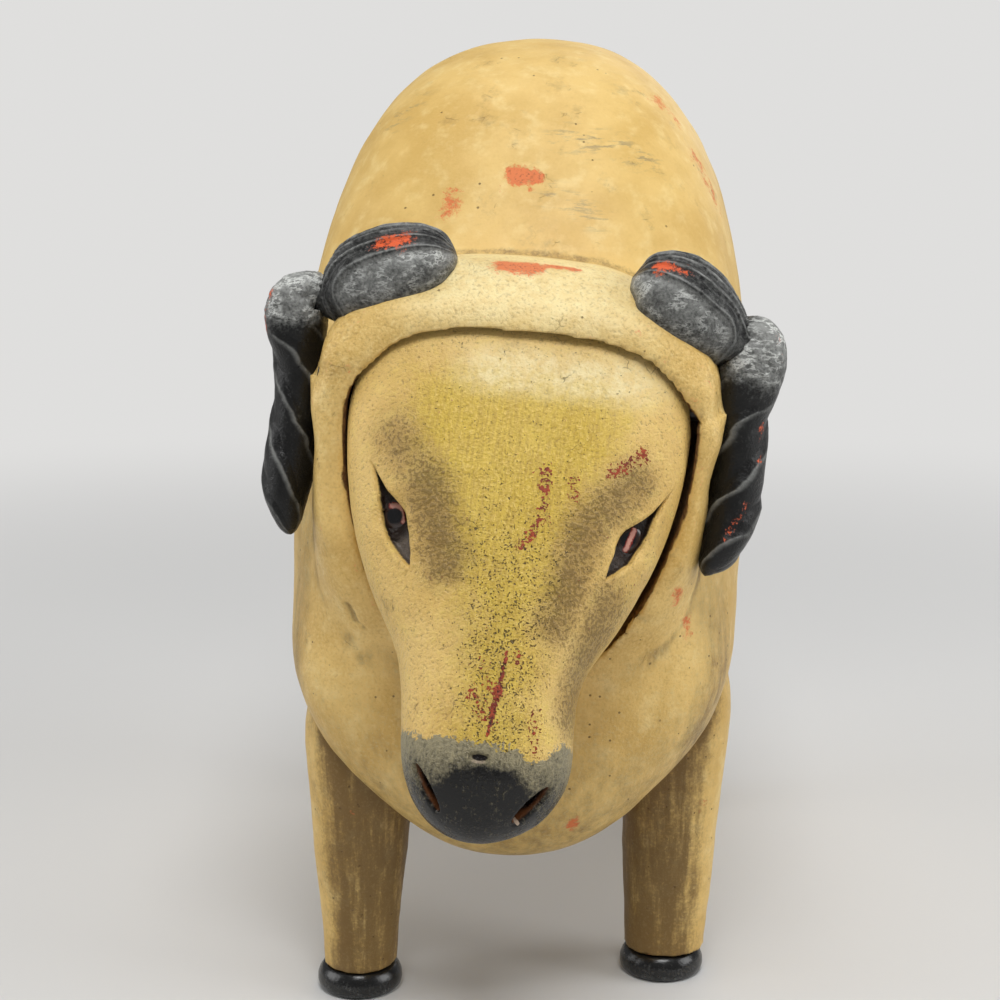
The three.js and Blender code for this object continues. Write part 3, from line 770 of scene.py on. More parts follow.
@dataclass(frozen=True)
class FacePaint(TanPaint):
    """The face's paint: gold down the middle, brown about the eyes partly as painted shade, a black nose."""

    name: str = "worn_face_paint"
    fine_size: float = 0.5
    patch_size: float = 1.7
    rubbed_and_highlight: Colour = (0.86, 0.74, 0.42)
    pale: Colour = (0.80, 0.60, 0.18)
    undercoat: Colour = (0.42, 0.065, 0.020)
    undercoat_dark: Colour = (0.17, 0.022, 0.010)
    gold: Colour = (0.60, 0.425, 0.035)
    gold_deep: Colour = (0.43, 0.285, 0.020)
    brown: Colour = (0.110, 0.063, 0.013)
    pit: Colour = (0.022, 0.012, 0.006)
    nose: Colour = (0.006, 0.0055, 0.005)
    nose_scuff: Colour = (0.30, 0.26, 0.155)
    socket: Colour = (0.016, 0.009, 0.006)
    slit: Colour = (0.006, 0.003, 0.002)
    slit_wall: Colour = (0.16, 0.06, 0.022)
    chip: Colour = (0.62, 0.48, 0.36)
    eye_floor: Colour = (0.17, 0.135, 0.105)
    dent: Pair = (0.45, 67.7)
    dent_half: Pair = (1.25, 0.48)
    dent_lip_half: Pair = (1.1, 0.3)

    def brushed(self, bench: PaintBench) -> Value:
        """Fine brush lines that run down the face."""
        drawn = bench.vector("MULTIPLY", bench.read_vector("down_face"), (2.0, 0.25, 0.5))
        return bench.noise(drawn, 1.0, 4.0, 0.65)

    def lens(self, bench: PaintBench, across: float, down: float, half: Pair) -> Value:
        """A small lens on the face.

        Args:
            bench: The tree.
            across: Its middle, across the face.
            down: Its middle, down the face.
            half: Half its width and half its height.

        Returns:
            1 inside it, 0 outside.
        """
        own = bench.add("ShaderNodeSeparateXYZ", {0: bench.read_vector("down_face")}).outputs
        aside = (Value(bench, own[0]) - across) / half[0]
        below = (Value(bench, own[1]) - down) / half[1]
        return (aside * aside + below * below).step(1.0, 0.55)

    def top_coat(self, bench: PaintBench, fine: Value) -> bpy.types.NodeSocket:
        """The unworn paint's colour, gold where the face is marked so."""
        tone = super().top_coat(bench, fine)
        gold = bench.mix(self.brushed(bench).step(0.35, 0.7), self.gold, self.gold_deep)
        drift = bench.noise(bench.place, 5.0, 5.0, 0.65)
        share = (bench.read("gold") + (fine - 0.5) * 0.5 + (drift - 0.5) * 1.0).step(0.1, 0.9)
        return bench.mix(share * 0.75, tone, gold)

    def smoked_and_shaded(self, bench: PaintBench, colour: Any, fine: Value, patchy: Value) -> bpy.types.NodeSocket:
        """Brown about the eyes as a veil and as grains, partly paint and partly painted shade, and a painted
        highlight at the crown.

        Args:
            bench: The tree.
            colour: The paint's colour.
            fine: The paint's finest grain.
            patchy: The paint's patches.

        Returns:
            The colour.
        """
        smoke_and_shade = bench.read("shade") + (patchy - 0.5) * 0.5
        colour = bench.mix(smoke_and_shade.step(0.1, 1.1) * 0.58, colour, self.brown)
        grains = (smoke_and_shade + (fine - 0.5) * 2.6).step(0.5, 1.0)
        colour = bench.mix(grains * 0.6, colour, self.brown)
        colour = bench.mix(fine.step(0.52, 0.72) * (1 - smoke_and_shade.step(0.1, 0.7)) * 0.5, colour, self.pale)
        colour = bench.mix(fine.step(0.45, 0.25) * 0.45, colour, self.brown)
        # Painted highlight along the crown's rolled edge.
        rolled = bench.read("rolled") * (patchy.step(0.35, 0.65) * 0.5 + 0.3)
        return bench.mix(rolled, colour, self.rubbed_and_highlight)

    def openings(self, bench: PaintBench, colour: Any, fine: Value, nose: Value) -> bpy.types.NodeSocket:
        """The eyes' hollows, the dent on the nose, the nostrils and the chip beside one of them.

        Args:
            bench: The tree.
            colour: The paint's colour.
            fine: The paint's finest grain.
            nose: Where the nose is.

        Returns:
            The colour.
        """
        hollow = (bench.read("socket") + (fine - 0.5) * 0.25).step(0.3, 0.6)
        floor = bench.read("eye_floor") * (fine * 0.8 + 0.3)
        colour = bench.mix(hollow, colour, bench.mix(floor, self.socket, self.eye_floor))
        across, down = self.dent
        hole = self.lens(bench, across, down, self.dent_half) * nose
        lip = self.lens(bench, across - 0.1, down + 0.5, self.dent_lip_half) * nose
        colour = bench.mix(lip * 0.4, colour, self.chip)
        colour = bench.mix(hole, colour, self.slit)
        slit = bench.read("slit")
        colour = bench.mix(slit.step(0.1, 0.3), colour, self.slit_wall)
        colour = bench.mix((slit - bench.read("slit_low") * 0.35).step(0.22, 0.5), colour, self.slit)
        return bench.mix((bench.read("chip") + (fine - 0.5) * 0.6).step(0.45, 0.6), colour, self.chip)

    def make(self) -> bpy.types.Material:
        """The material."""
        bench = PaintBench(self.name)
        fine = bench.noise(bench.place, self.fine_size, 2.0, 0.65)
        patchy = bench.noise(bench.place, self.patch_size, 6.0, 0.7)
        colour = self.smoked_and_shaded(bench, self.top_coat(bench, fine), fine, patchy)
        worn = (bench.read("wear") + (patchy - 0.5) * 1.0 + (fine - 0.5) * 2.2).step(0.52, 0.66)
        red = bench.mix(patchy.step(0.4, 0.7), self.undercoat_dark, self.undercoat)
        colour = bench.mix(worn, colour, red)
        pits = bench.noise(bench.place, 0.3, 1.0) + bench.noise(bench.place, 1.1, 2.0) * 0.35
        speck = (pits + bench.read("pits") * 0.15).step(0.9, 1.0)
        colour = bench.mix(speck * 0.8, colour, self.pit)
        crack = self.cracks(bench)
        colour = bench.mix(crack * 0.6, colour, self.brown)
        drawn = self.brushed(bench) - 0.5
        edge = bench.read("nose")
        ragged = ((fine - 0.5) * 2.6 + drawn * 1.6) * edge * (1 - edge) * 4.0
        nose = (edge + ragged).step(0.35, 0.65)
        mottled = (patchy - 0.5) * 1.1 + (fine - 0.5) * 1.2 + drawn * 0.9
        scuff = (bench.read("scuff") + mottled).step(0.05, 1.15)
        colour = bench.mix(nose, colour, bench.mix(scuff, self.nose, self.nose_scuff))
        raw = (bench.read("raw") + (fine - 0.5) * 0.3).step(0.35, 0.65)
        colour = bench.mix(raw, colour, bench.mix(patchy.step(0.4, 0.6), self.bare, self.bare_dark))
        colour = self.openings(bench, colour, fine, nose)
        glossy = nose * (1 - scuff)
        rough = 0.36 + (patchy - 0.5) * 0.3 + worn * 0.12 + raw * 0.35 - glossy * 0.12
        lines = self.brushed(bench) * bench.read("gold")
        height = fine * 1.1 + patchy * 0.4 + lines * 0.5 - worn * 0.4 - speck * 0.8 - crack * 0.3
        height *= 1 - glossy * 0.8
        return bench.finish(colour, rough, height, self.relief_depth, Specular_IOR_Level=self.shine)


@dataclass(frozen=True)
class BlackPaint:
    """Black paint, worn grey on what stands out and painted lighter as a highlight where the horns face up,
    with the red undercoat at its edges.
    """

    name: str = "worn_black_paint"
    black: Colour = (0.007, 0.007, 0.007)
    rubbed_and_highlight: Colour = (0.29, 0.295, 0.28)
    scratch_and_highlight: Colour = (0.62, 0.63, 0.60)
    undercoat: Colour = (0.70, 0.115, 0.035)
    fine_size: float = 0.45
    patch_size: float = 2.4
    rough: float = 0.30
    grain: float = 0.18
    shine: float = 0.3

    def make(self) -> bpy.types.Material:
        """The material."""
        bench = PaintBench(self.name)
        fine = bench.noise(bench.place, self.fine_size, 3.0, 0.65)
        patchy = bench.noise(bench.place, self.patch_size, 6.0, 0.7)
        # The grey is partly wear and, where the horns face up, a painted highlight.
        rub_and_highlight = (bench.read("rub_and_highlight") + (patchy - 0.5) * 0.7 + (fine - 0.5) * 0.9).step(0.2, 1.2)
        colour = bench.mix(rub_and_highlight, self.black, self.rubbed_and_highlight)
        drawn = bench.vector("MULTIPLY", bench.place, (0.5, 1.0, 1.2))
        stroke = (bench.noise(drawn, 1.7, 4.0, 0.7) - 0.5).size().step(0.06, 0.0)
        scratch = stroke * bench.noise(bench.place, 3.0, 3.0).step(0.38, 0.56)
        colour = bench.mix(scratch * (bench.read("rub_and_highlight") - 0.4).most(0.0) * 2.2, colour, self.scratch_and_highlight)
        # Pale lines along ring edges and crests, stronger where they face up: partly painted highlight.
        line = bench.read("line") * (patchy * 2.2 + fine * 0.8 - 0.7).step(0.1, 1.0)
        colour = bench.mix(line * 0.42, colour, self.scratch_and_highlight)
        worn = (bench.read("wear") + (patchy - 0.5) * 1.3 + (fine - 0.5) * 1.1).step(0.5, 0.72)
        colour = bench.mix(worn, colour, self.undercoat)
        rough = self.rough + rub_and_highlight * 0.16 + (patchy - 0.5) * 0.2
        height = fine * 0.7 + patchy * 0.6 - worn * 0.4
        return bench.finish(colour, rough, height, self.grain, Specular_IOR_Level=self.shine)


@dataclass(frozen=True)
class EyePaint:
    """A black bead with a red streak beside its pupil, the streak's middle painted pink as a highlight."""

    name: str = "painted_bead"
    pupil: float = 1.0
    black: Colour = (0.003, 0.003, 0.004)
    rim: Colour = (0.030, 0.015, 0.011)
    red: Colour = (0.26, 0.028, 0.022)
    pink_highlight: Colour = (0.72, 0.36, 0.29)

    def make(self) -> bpy.types.Material:
        """The material."""
        bench = PaintBench(self.name)
        fine = bench.noise(bench.place, 0.5, 3.0, 0.6)
        off = bench.read("off_gaze") + (fine - 0.5) * 0.3
        outside = off.step(self.pupil, self.pupil + 0.3)
        colour = bench.mix(outside, self.black, self.rim)
        # Painted highlight: the middle of the red streak turns pink.
        streak = bench.mix((bench.read("blush") + (fine - 0.5) * 0.8).step(0.6, 0.9), self.red, self.pink_highlight)
        blush = (bench.read("blush") + (fine - 0.5) * 0.7).step(0.35, 0.6)
        colour = bench.mix(blush * (outside + bench.read("over")).least(1.0), colour, streak)
        return bench.finish(colour, 0.16 + fine * 0.1, fine, 0.02, Coat_Weight=0.3, Coat_Roughness=0.05)


@dataclass(frozen=True)
class BareWood:
    """Turned dowel wood, with its grain along one axis."""

    name: str
    grain: Point
    light: Colour = (0.42, 0.26, 0.12)
    dark: Colour = (0.24, 0.125, 0.05)

    def make(self) -> bpy.types.Material:
        """The material."""
        bench = PaintBench(self.name)
        drawn = bench.vector("MULTIPLY", bench.place, self.grain)
        line = bench.noise(drawn, 1.0, 4.0, 0.6)
        fine = bench.noise(drawn, 0.3, 2.0)
        colour = bench.mix(line.step(0.35, 0.65), self.light, self.dark)
        colour = bench.mix(fine.step(0.6, 0.8) * 0.5, colour, self.dark)
        return bench.finish(colour, 0.68 + (line - 0.5) * 0.2, line + fine * 0.5, 0.08)


@dataclass(frozen=True)
class Iron:
    """Dark iron with specks of rust."""

    name: str = "dark_iron"
    clean: Colour = (0.05, 0.046, 0.042)
    rust: Colour = (0.07, 0.028, 0.012)

    def make(self) -> bpy.types.Material:
        """The material."""
        bench = PaintBench(self.name)
        patchy = bench.noise(bench.place, 2.0, 5.0, 0.65)
        rust = patchy.step(0.52, 0.66)
        colour = bench.mix(rust, self.clean, self.rust)
        rough = 0.42 + rust * 0.35
        return bench.finish(colour, rough, patchy + rust * 0.4, 0.06, Metallic=0.9)


@dataclass(frozen=True)
class Patch:
    """A worn or dirty place: a line with a soft reach about it."""

    start: Point
    end: Point
    reach: float
    strength: float = 1.0
    narrows: float = 1.0

    def on(self, points: Array) -> Array:
        """How strongly it marks each point, with its reach narrowed towards the end."""
        reach = self.reach * (1 + (self.narrows - 1) * share_along(points, self.start, self.end))
        return self.strength * fade(to_segment(points, self.start, self.end) / reach, 0.0, 1.0)


def marked(points: Array, patches: Sequence[Patch]) -> Array:
    """The strongest of several patches at each point."""
    return np.max([patch.on(points) for patch in patches], axis=0)


@dataclass
class CarvedBody:
    """The torso and the hood that the face hangs in, from one block.

    A reach, a cover or the pin's ends are where a fade is full and where it is none. The rim's
    slope is a line across the hood, given by how far it lies behind and above the pin.
    """

    scale: float = 0.62
    smoothing: int = 80
    rolling: int = 5
    layers: tuple[Layer, ...] = ((0.22, 15.0, 1), (0.08, 4.5, 2))
    bore_middle: Pair = (1.2, -11.0)
    bore_reach: Pair = (13.5, 15.5)
    bore_ends: Pair = (8.0, 46.0)
    corner_push: Pair = (1.8, 2.0)
    pin_ends: Pair = (27.0, 25.5)
    pin_cover: Pair = (2.2, 5.0)
    rim_slope: Pair = (-2.6, 16.2)
    side_fill: float = 1.6
    slope_cut: float = 1.1
    belly_drop: float = 1.7
    seat_clear: float = 2.3
    red: tuple[Patch, ...] = (
        Patch((-1.4, -29.0, 133.9), (1.8, -29.0, 133.8), 4.6, 1.0, 0.6),
        Patch((-4.0, -30.0, 131.4), (-3.4, -30.0, 131.0), 2.4, 0.7),
        Patch((1.0, -30.0, 131.2), (1.2, -30.0, 130.6), 2.0, 0.75),
        Patch((-12.4, -31.8, 127.6), (-11.6, -31.0, 131.0), 4.6, 0.66),
        Patch((20.0, -4.8, 146.0), (24.0, -5.5, 144.5), 8.0, 0.54),
        Patch((28.0, -9.5, 137.0), (30.5, -9.0, 129.0), 8.0, 0.56),
        Patch((-1.4, -55.8, 121.3), (3.2, -55.8, 121.0), 4.6, 0.95),
        Patch((6.0, -55.0, 120.8), (9.4, -55.0, 120.0), 2.8, 0.9, 0.7),
        Patch((24.6, -60.7, 73.0), (25.0, -60.0, 71.5), 3.2, 0.66),
        Patch((26.0, -54.9, 68.5), (26.2, -54.0, 65.0), 3.2, 0.62),
        Patch((9.2, -55.1, 34.0), (10.6, -54.6, 37.5), 2.6, 0.8),
        Patch((-24.0, 20.0, 140.0), (-18.0, 30.0, 144.0), 5.0, 0.6),
        Patch((30.0, 50.0, 110.0), (28.0, 58.0, 104.0), 5.0, 0.65),
        Patch((-33.0, 38.0, 90.0), (-34.0, 30.0, 82.0), 5.0, 0.6),
    )
    smears: tuple[Patch, ...] = (
        Patch((6.0, -23.6, 140.0), (19.0, -22.4, 137.0), 5.0),
        Patch((4.0, -31.0, 131.0), (13.0, -33.0, 127.0), 4.0, 0.8),
        Patch((-24.0, -14.0, 143.0), (-20.0, -12.0, 146.0), 5.0, 0.7),
        Patch((-10.0, 15.0, 154.0), (8.0, 24.0, 155.0), 8.0),
    )
    gouges: tuple[tuple[Point, Point], ...] = (
        ((-24.4, -60.2, 70.5), (-23.7, -60.0, 67.2)),
        ((-23.7, -60.0, 67.2), (-22.4, -60.4, 66.4)),
        ((19.6, -63.2, 72.5), (19.2, -62.8, 69.6)),
        ((19.2, -62.8, 69.6), (20.4, -62.2, 68.6)),
    )
    gouge_reach: float = 1.0
    gouge_depth: float = 0.55
    outside: Surface | None = None

    def build(self) -> Carving:
        """The carved mesh, with its marks."""
        body = Carving.of_node("torso", self.scale)
        local = LEAN.local(body.points)
        gap, inside, deep = self.socket(body, local)
        body.fair(self.smoothing, deep)
        body.ease(self.rolling, deep)
        plug = self.close_pin_hole(body)
        body.points += self.corners(local, inside * (1 - plug))[:, None] * LEAN.axes[0]
        body.points += self.fuller(body.points) * (1 - inside)[:, None]
        cut = np.min([to_segment(body.points, *ends) for ends in self.gouges], axis=0)
        groove = fade(cut, 0.15, self.gouge_reach)
        slope = np.linalg.norm(local[:, 1:] - self.rim_slope, axis=1)
        slope = fade(slope, 0.5, 6.0) * fade(np.abs(local[:, 0]), 14.0, 26.0) * (1 - inside)
        move = relief(body.points, self.layers) * (1 - inside)
        body.push((move - self.gouge_depth * groove - self.slope_cut * slope) * (1 - plug))
        body.clip()
        body.mark(raw=body.soften(np.maximum(inside * (1 - plug), groove * 0.4), 1))
        self.mark(body, local, gap)
        self.outside = body.surface((inside < 0.5) & (gap > self.seat_clear))
        return body

    def socket(self, body: Carving, local: Array) -> tuple[Array, Array, Array]:
        """The socket that the face block hangs in.

        Args:
            body: The uncarved body.
            local: Its points in the leaning frame.

        Returns:
            Each point's gap to the face block, 1 inside the socket, and 1 deep in its bore.
        """
        places, _, gap = Surface.of_node("head").nearest(body.points)
        towards = (places - body.points) / np.maximum(gap, NEARLY_NONE)[:, None]
        wall = fade(dots(towards, body.normals()), 0.85, 0.55) * fade(gap, 2.6, 4.5)
        back = local[:, 1]
        start, end = self.bore_ends
        off = np.linalg.norm(local[:, [0, 2]] - self.bore_middle, axis=1)
        bore = fade(off, *self.bore_reach) * (back > start) * (back < end)
        return gap, np.maximum(wall, bore), bore * fade(back, 10.0, 6.0)

    def close_pin_hole(self, body: Carving) -> Array:
        """Draws both ends of the pin's hole shut.

        Args:
            body: The body.

        Returns:
            1 where a point was drawn to the pin's axis, 0 where it stayed.
        """
        local = LEAN.local(body.points)
        off = np.linalg.norm(local[:, 1:], axis=1)
        plug = fade(np.abs(local[:, 0]), *self.pin_ends) * fade(off, *self.pin_cover)
        body.points -= (plug[:, None] * local[:, 1:]) @ LEAN.axes[1:]
        return plug

    def mark(self, body: Carving, local: Array, gap: Array) -> None:
        """Marks painted shade, where the paint is worn, smeared and grainy, and a painted highlight on the
        hood's crest.

        Args:
            body: The carved body.
            local: Its first points in the leaning frame.
            gap: Their gaps to the face block.
        """
        across, back, up = np.abs(local[:, 0]), local[:, 1], local[:, 2]
        stand = body.stand(12)
        # Painted shade: darker lower down, in creases, beside the socket's rim and in a ring behind the hood.
        under = fade(body.points[:, 2], 24.0, 80.0) * 0.5
        crease = fade(stand, -0.12, -0.01)
        rim = fade(gap, 1.1, 2.4) * 0.12
        ring = fade(np.abs(back - 10.0), 2.0, 8.0) * fade(across, 31.0, 27.0) * 0.35
        edge = fade(stand, 0.22, 0.06) * 0.3
        hood = fade(back, 9.0, 15.0)
        body.mark(
            shade=np.clip(under + 0.5 * crease + rim + ring, 0, 1),
            wear=np.maximum(marked(body.points, self.red), edge),
            smear=marked(body.points, self.smears),
            grain=0.12 + (0.45 + 0.3 * fade(up, 2.0, -14.0)) * hood,
            # Painted highlight on the hood's crest.
            crest_highlight=hood * fade(up, 16.0, 5.0) * fade(across, 10.0, 24.0),
        )

    def fuller(self, points: Array) -> Array:
        """How the belly hangs lower in front and the sides about the legs' tops fill out.

        Args:
            points: The body's points.

        Returns:
            A move for each point.
        """
        across, back, up = points.T
        drop = fade(np.abs(across), 6.0, 28.0) * fade(up, 40.0, 58.0) * fade(np.abs(back + 45.0), 15.0, 34.0)
        swell = fade(np.abs(up - 47.0), 7.0, 24.0) * fade(np.abs(across), 30.0, 20.0)
        swell *= fade(np.abs(np.abs(back) - 42.0), 10.0, 26.0)
        moves = [np.sign(across) * swell * self.side_fill, np.zeros(len(across)), -self.belly_drop * drop]
        return np.stack(moves, axis=1)

    def corners(self, local: Array, inside: Array) -> Array:
        """How far the hood's upper corners move out to fill the space under the horns.

        Args:
            local: The points in the leaning frame.
            inside: 1 inside the socket.

        Returns:
            A move across for each point, towards its own side.
        """
        across, back, up = local.T
        here = fade(np.abs(up - 3.0), 4.0, 15.0) * fade(np.abs(across), 27.0, 20.0)
        here *= fade(back, -4.0, -5.5) * fade(back, 12.0, 24.0) * (1 - inside)
        right, left = self.corner_push
        return here * np.where(across < 0, -right, left)

    def dress(self, finish: bpy.types.Material) -> None:
        """Builds the piece and sets it up."""
        self.build().set_up("torso", finish, Body.FIGURE, Slot.TAN)


@dataclass(frozen=True)
class EyeCut:
    """An almond cut about an eye, from its upper tip to its lower one, on the face."""

    tip: Pair
    toe: Pair
    reach: tuple[float, ...]
    floor: float
    along: tuple[float, ...] = (0.0, 0.12, 0.28, 0.4, 0.54, 0.72, 0.88, 1.0)


@dataclass
class NoddingHead:
    """The face block, its carved eyes and nostrils, and the beads in them."""

    scale: float = 0.70
    smoothing: int = 90
    rolling: int = 4
    layers: tuple[Layer, ...] = ((0.10, 9.0, 3), (0.04, 2.5, 4))
    wobble: tuple[Layer, ...] = ((1.5, 4.0, 5), (0.9, 1.5, 6))
    finer_reach: float = 3.0
    eye_depth: float = 1.6
    lip_height: float = 0.14
    dent_depth: float = 0.6
    pocket_rim: float = 1.0
    pocket_rounds: int = 400
    bead_size: float = 0.98
    bead_flatness: float = 0.4
    bead_stand: float = 0.85
    bead_outward: float = 0.65
    muzzle_fill: float = 1.7
    gold_half: Graph = ((4.0, 20.0, 34.0, 48.0, 62.0, 70.0), (18.0, 16.0, 9.0, 5.5, 5.5, 6.0))
    wet_half: Graph = ((67.5, 69.0, 75.5, 78.0), (0.5, 3.0, 6.0, 7.5))
    pit_half: Graph = ((10.0, 25.0, 45.0, 66.0), (14.0, 13.0, 9.0, 7.0))
    nose_top: Pair = (66.9, 64.7)
    nose_back: Pair = (-3.5, -5.0)
    nose_end: Pair = (78.6, 79.8)
    eyes: tuple[EyeCut, ...] = (
        EyeCut((-20.2, 27.0), (-12.6, 42.2), (0.12, 0.42, 0.9, 1.4, 1.95, 1.8, 1.0, 0.1), 0.9),
        EyeCut((23.2, 26.4), (15.1, 40.8), (0.1, 0.34, 0.7, 1.2, 1.68, 1.65, 0.95, 0.1), 0.25),
    )
    nostrils: tuple[tuple[Point, Point], ...] = (
        ((-8.5, 69.4, 6.6), (-4.9, 75.0, 5.6)),
        ((10.2, 70.6, 2.8), (6.0, 75.5, 4.0)),
    )
    nostril_reach: float = 0.62
    nostril_depth: float = 2.6
    chips: tuple[Patch, ...] = (
        Patch((6.3, 75.7, 4.0), (6.7, 75.9, 4.0), 0.6),
    )
    dent: tuple[Point, Point] = ((-0.6, 67.6, 9.6), (1.4, 67.7, 9.6))
    red: tuple[Patch, ...] = (
        Patch((5.2, 26.8, 9.8), (5.5, 29.4, 9.8), 2.4, 0.6),
        Patch((5.2, 29.0, 9.9), (6.1, 34.0, 9.9), 1.2, 0.56),
        Patch((5.6, 30.0, 9.9), (4.6, 35.0, 10.0), 1.3, 0.56),
        Patch((4.9, 35.0, 10.0), (2.9, 38.0, 10.2), 1.6, 0.62),
        Patch((9.0, 26.8, 9.4), (9.5, 29.8, 9.4), 1.7, 0.58),
        Patch((14.6, 25.6, 8.3), (18.8, 22.4, 7.4), 2.4, 0.66),
        Patch((2.0, 58.8, 10.2), (2.6, 53.0, 10.2), 1.15, 1.0, 0.3),
        Patch((2.0, 58.8, 10.2), (1.2, 64.6, 10.0), 1.15, 1.0, 0.4),
        Patch((-1.6, 58.8, 10.2), (1.0, 62.6, 10.1), 2.8, 0.5),
        Patch((-0.6, 55.0, 10.2), (0.6, 58.0, 10.1), 2.6, 0.42),
        Patch((4.0, 53.4, 9.9), (4.4, 54.8, 9.9), 1.5, 0.62),
        Patch((7.2, 60.5, 8.8), (7.8, 66.0, 8.2), 2.6, 0.46),
    )
    # Brown paint about the eyes and down the muzzle, partly painted shade where the face turns from the
    # light.
    brown: tuple[Patch, ...] = (
        Patch((-17.0, 23.0, 8.0), (-11.0, 31.0, 9.0), 9.0, 0.7),
        Patch((-11.5, 30.0, 9.0), (-7.5, 41.0, 9.3), 8.5, 0.9),
        Patch((-5.5, 42.0, 9.3), (-3.0, 54.0, 9.6), 6.0, 0.35),
        Patch((1.0, 42.0, 10.0), (2.0, 60.0, 10.2), 6.5, 0.3),
        Patch((18.0, 26.5, 7.5), (11.5, 34.0, 8.8), 7.5, 0.85),
        Patch((11.5, 34.0, 8.8), (9.0, 48.0, 8.8), 7.5, 0.85),
        Patch((9.0, 48.0, 8.8), (8.5, 56.0, 8.8), 6.0, 0.4),
        Patch((15.0, 44.0, 5.0), (12.5, 60.0, 5.0), 8.5, 0.85),
    )

    def carve_eye(self, face: Carving, own: Array, normals: Array, cut: EyeCut) -> tuple[Array, Array, Array]:
        """An eye's cut.

        Args:
            face: The face block.
            own: Its points in the face's frame.
            normals: Its outward directions.
            cut: Where the eye is.

        Returns:
            How far each point moves, how deep in the cut it lies, and how far it is on the cut's floor.
        """
        front = own[:, 2] > -4.0
        ends = []
        for spot in (cut.tip, cut.toe):
            off = np.linalg.norm(own[:, :2] - np.array(spot), axis=1) + 100.0 * ~front
            ends.append(face.points[np.argmin(off)])
        tip, toe = ends
        near = np.linalg.norm(face.points - (tip + toe) / 2, axis=1) < 11.0
        outward = normals[near & front].mean(axis=0)
        length = np.linalg.norm(toe - tip)
        axis = unit(toe - tip)
        outward = unit(outward - axis * (outward @ axis))
        away = face.points - tip
        along = away @ axis / length
        off = np.abs(away @ np.cross(outward, axis))
        reach = np.interp(along, cut.along, cut.reach)
        inside = (along > -0.02) & (along < 1.02) & near & front
        deep = fade(reach - off, 0.6, -0.1) * inside
        lip = np.exp(-(((off - reach - 0.5) / 0.45) ** 2)) * inside * fade(along, 0.4, 0.15)
        move = self.lip_height * lip * (1 - deep) - self.eye_depth * deep
        return move, deep, cut.floor * deep * fade(along, 0.78, 0.6)

    def carve_nostrils(self, own: Array) -> tuple[Array, Array]:
        """The nostrils' slits.

        Args:
            own: The face block's points in the face's frame.

        Returns:
            How deep in a slit each point lies, and the same for the lower end alone.
        """
        slit, low = np.zeros(len(own)), np.zeros(len(own))
        flat = own[:, :2]
        for start, end in self.nostrils:
            t = share_along(flat, start[:2], end[:2])
            swell = np.sin(np.pi * np.clip(0.06 + 0.82 * t, 0, 1))
            reach = self.nostril_reach * np.sqrt(np.maximum(swell, 0))
            here = fade(reach - to_segment(flat, start[:2], end[:2]) * 0.9, 0.55, -0.1)
            here = here * (own[:, 2] > -2.0)
            low = np.maximum(low, here * fade(t, 0.9, 0.45))
            slit = np.maximum(slit, here)
        return slit, low

    def close_pockets(self, face: Carving) -> None:
        """Closes the round pockets behind the beads, so that each eye is cut in a whole face."""
        pocket = np.zeros(len(face.points), bool)
        for middle, radius in map(self.seat, Side):
            pocket |= np.linalg.norm(face.points - middle, axis=1) - radius < self.pocket_rim
        for _ in range(self.pocket_rounds):
            face.points[pocket] = face.average(face.points)[pocket]

    def build(self) -> Carving:
        """The carved mesh, with its marks."""
        face = Carving.of_node("head", self.scale)
        back = fade(LEAN.local(face.points)[:, 1], 0.5, -2.5)
        face.fair(self.smoothing, back)
        face.ease(self.rolling, back)
        self.close_pockets(face)
        face.push(relief(face.points, self.layers) * (1 - back))
        own = LEAN.face(face.points)
        wider = self.muzzle_fill * fade(own[:, 1], 70.0, 55.0) * fade(own[:, 0], 12.0, 2.0)
        face.points += wider[:, None] * LEAN.axes[0]
        own = LEAN.face(face.points)
        lines = [(cut.tip, cut.toe) for cut in self.eyes]
        lines += [(start[:2], end[:2]) for start, end in (*self.nostrils, self.dent)]
        off = np.min([to_segment(own[:, :2], *ends) for ends in lines], axis=0)
        face = face.finer((off < self.finer_reach) & (own[:, 2] > -3.0))
        own = LEAN.face(face.points)
        normals = face.normals()
        move, hollow, floor = np.zeros((3, len(own)))
        for cut in self.eyes:
            moved, deep, low = self.carve_eye(face, own, normals, cut)
            move += moved
            hollow, floor = np.maximum(hollow, deep), np.maximum(floor, low)
        slit, low = self.carve_nostrils(own)
        dent = fade(to_segment(own, *self.dent), 0.1, 0.75)
        move -= self.nostril_depth * slit + self.dent_depth * dent
        face.points += normals * move[:, None]
        carved = np.maximum(np.maximum(hollow, slit), dent)
        near = face.soften((carved > 0.02).astype(float), 6)
        soft = face.soften(face.points, 3)
        face.points += (soft - face.points) * (near * 0.7)[:, None]
        face.clip()
        face.mark(socket=hollow, eye_floor=floor, slit=slit, slit_low=low, down_face=own)
        self.mark(face, own)
        return face

    def mark(self, face: Carving, own: Array) -> None:
        """Marks the paint's places on the face.

        Args:
            face: The carved face.
            own: Its points in the face's frame, before the cuts.
        """
        across, down, forward = own.T
        front = forward > 0
        half = np.interp(down, *self.gold_half)
        middle = 0.6 + 0.04 * (down - 30.0)
        gold = fade(np.abs(across - middle) - half, -9.0, 8.0) * fade(down, 18.0, 7.0) * front
        rise = 1.6 * fade(np.abs(across - 0.8), 11.0, 8.0) - 1.5 * fade(np.abs(across - 7.6), 0.6, 2.6)
        edge = down + relief(face.points, self.wobble) + rise
        nose = fade(edge, *self.nose_top) * fade(forward, *self.nose_back) * fade(down, *self.nose_end)
        half = np.interp(down, *self.wet_half)
        middle = 1.5 - (down - 69.0) * 0.12
        wet = fade(np.abs(across - middle) - half, -2.6, 3.0) * fade(down, 71.0, 67.4)
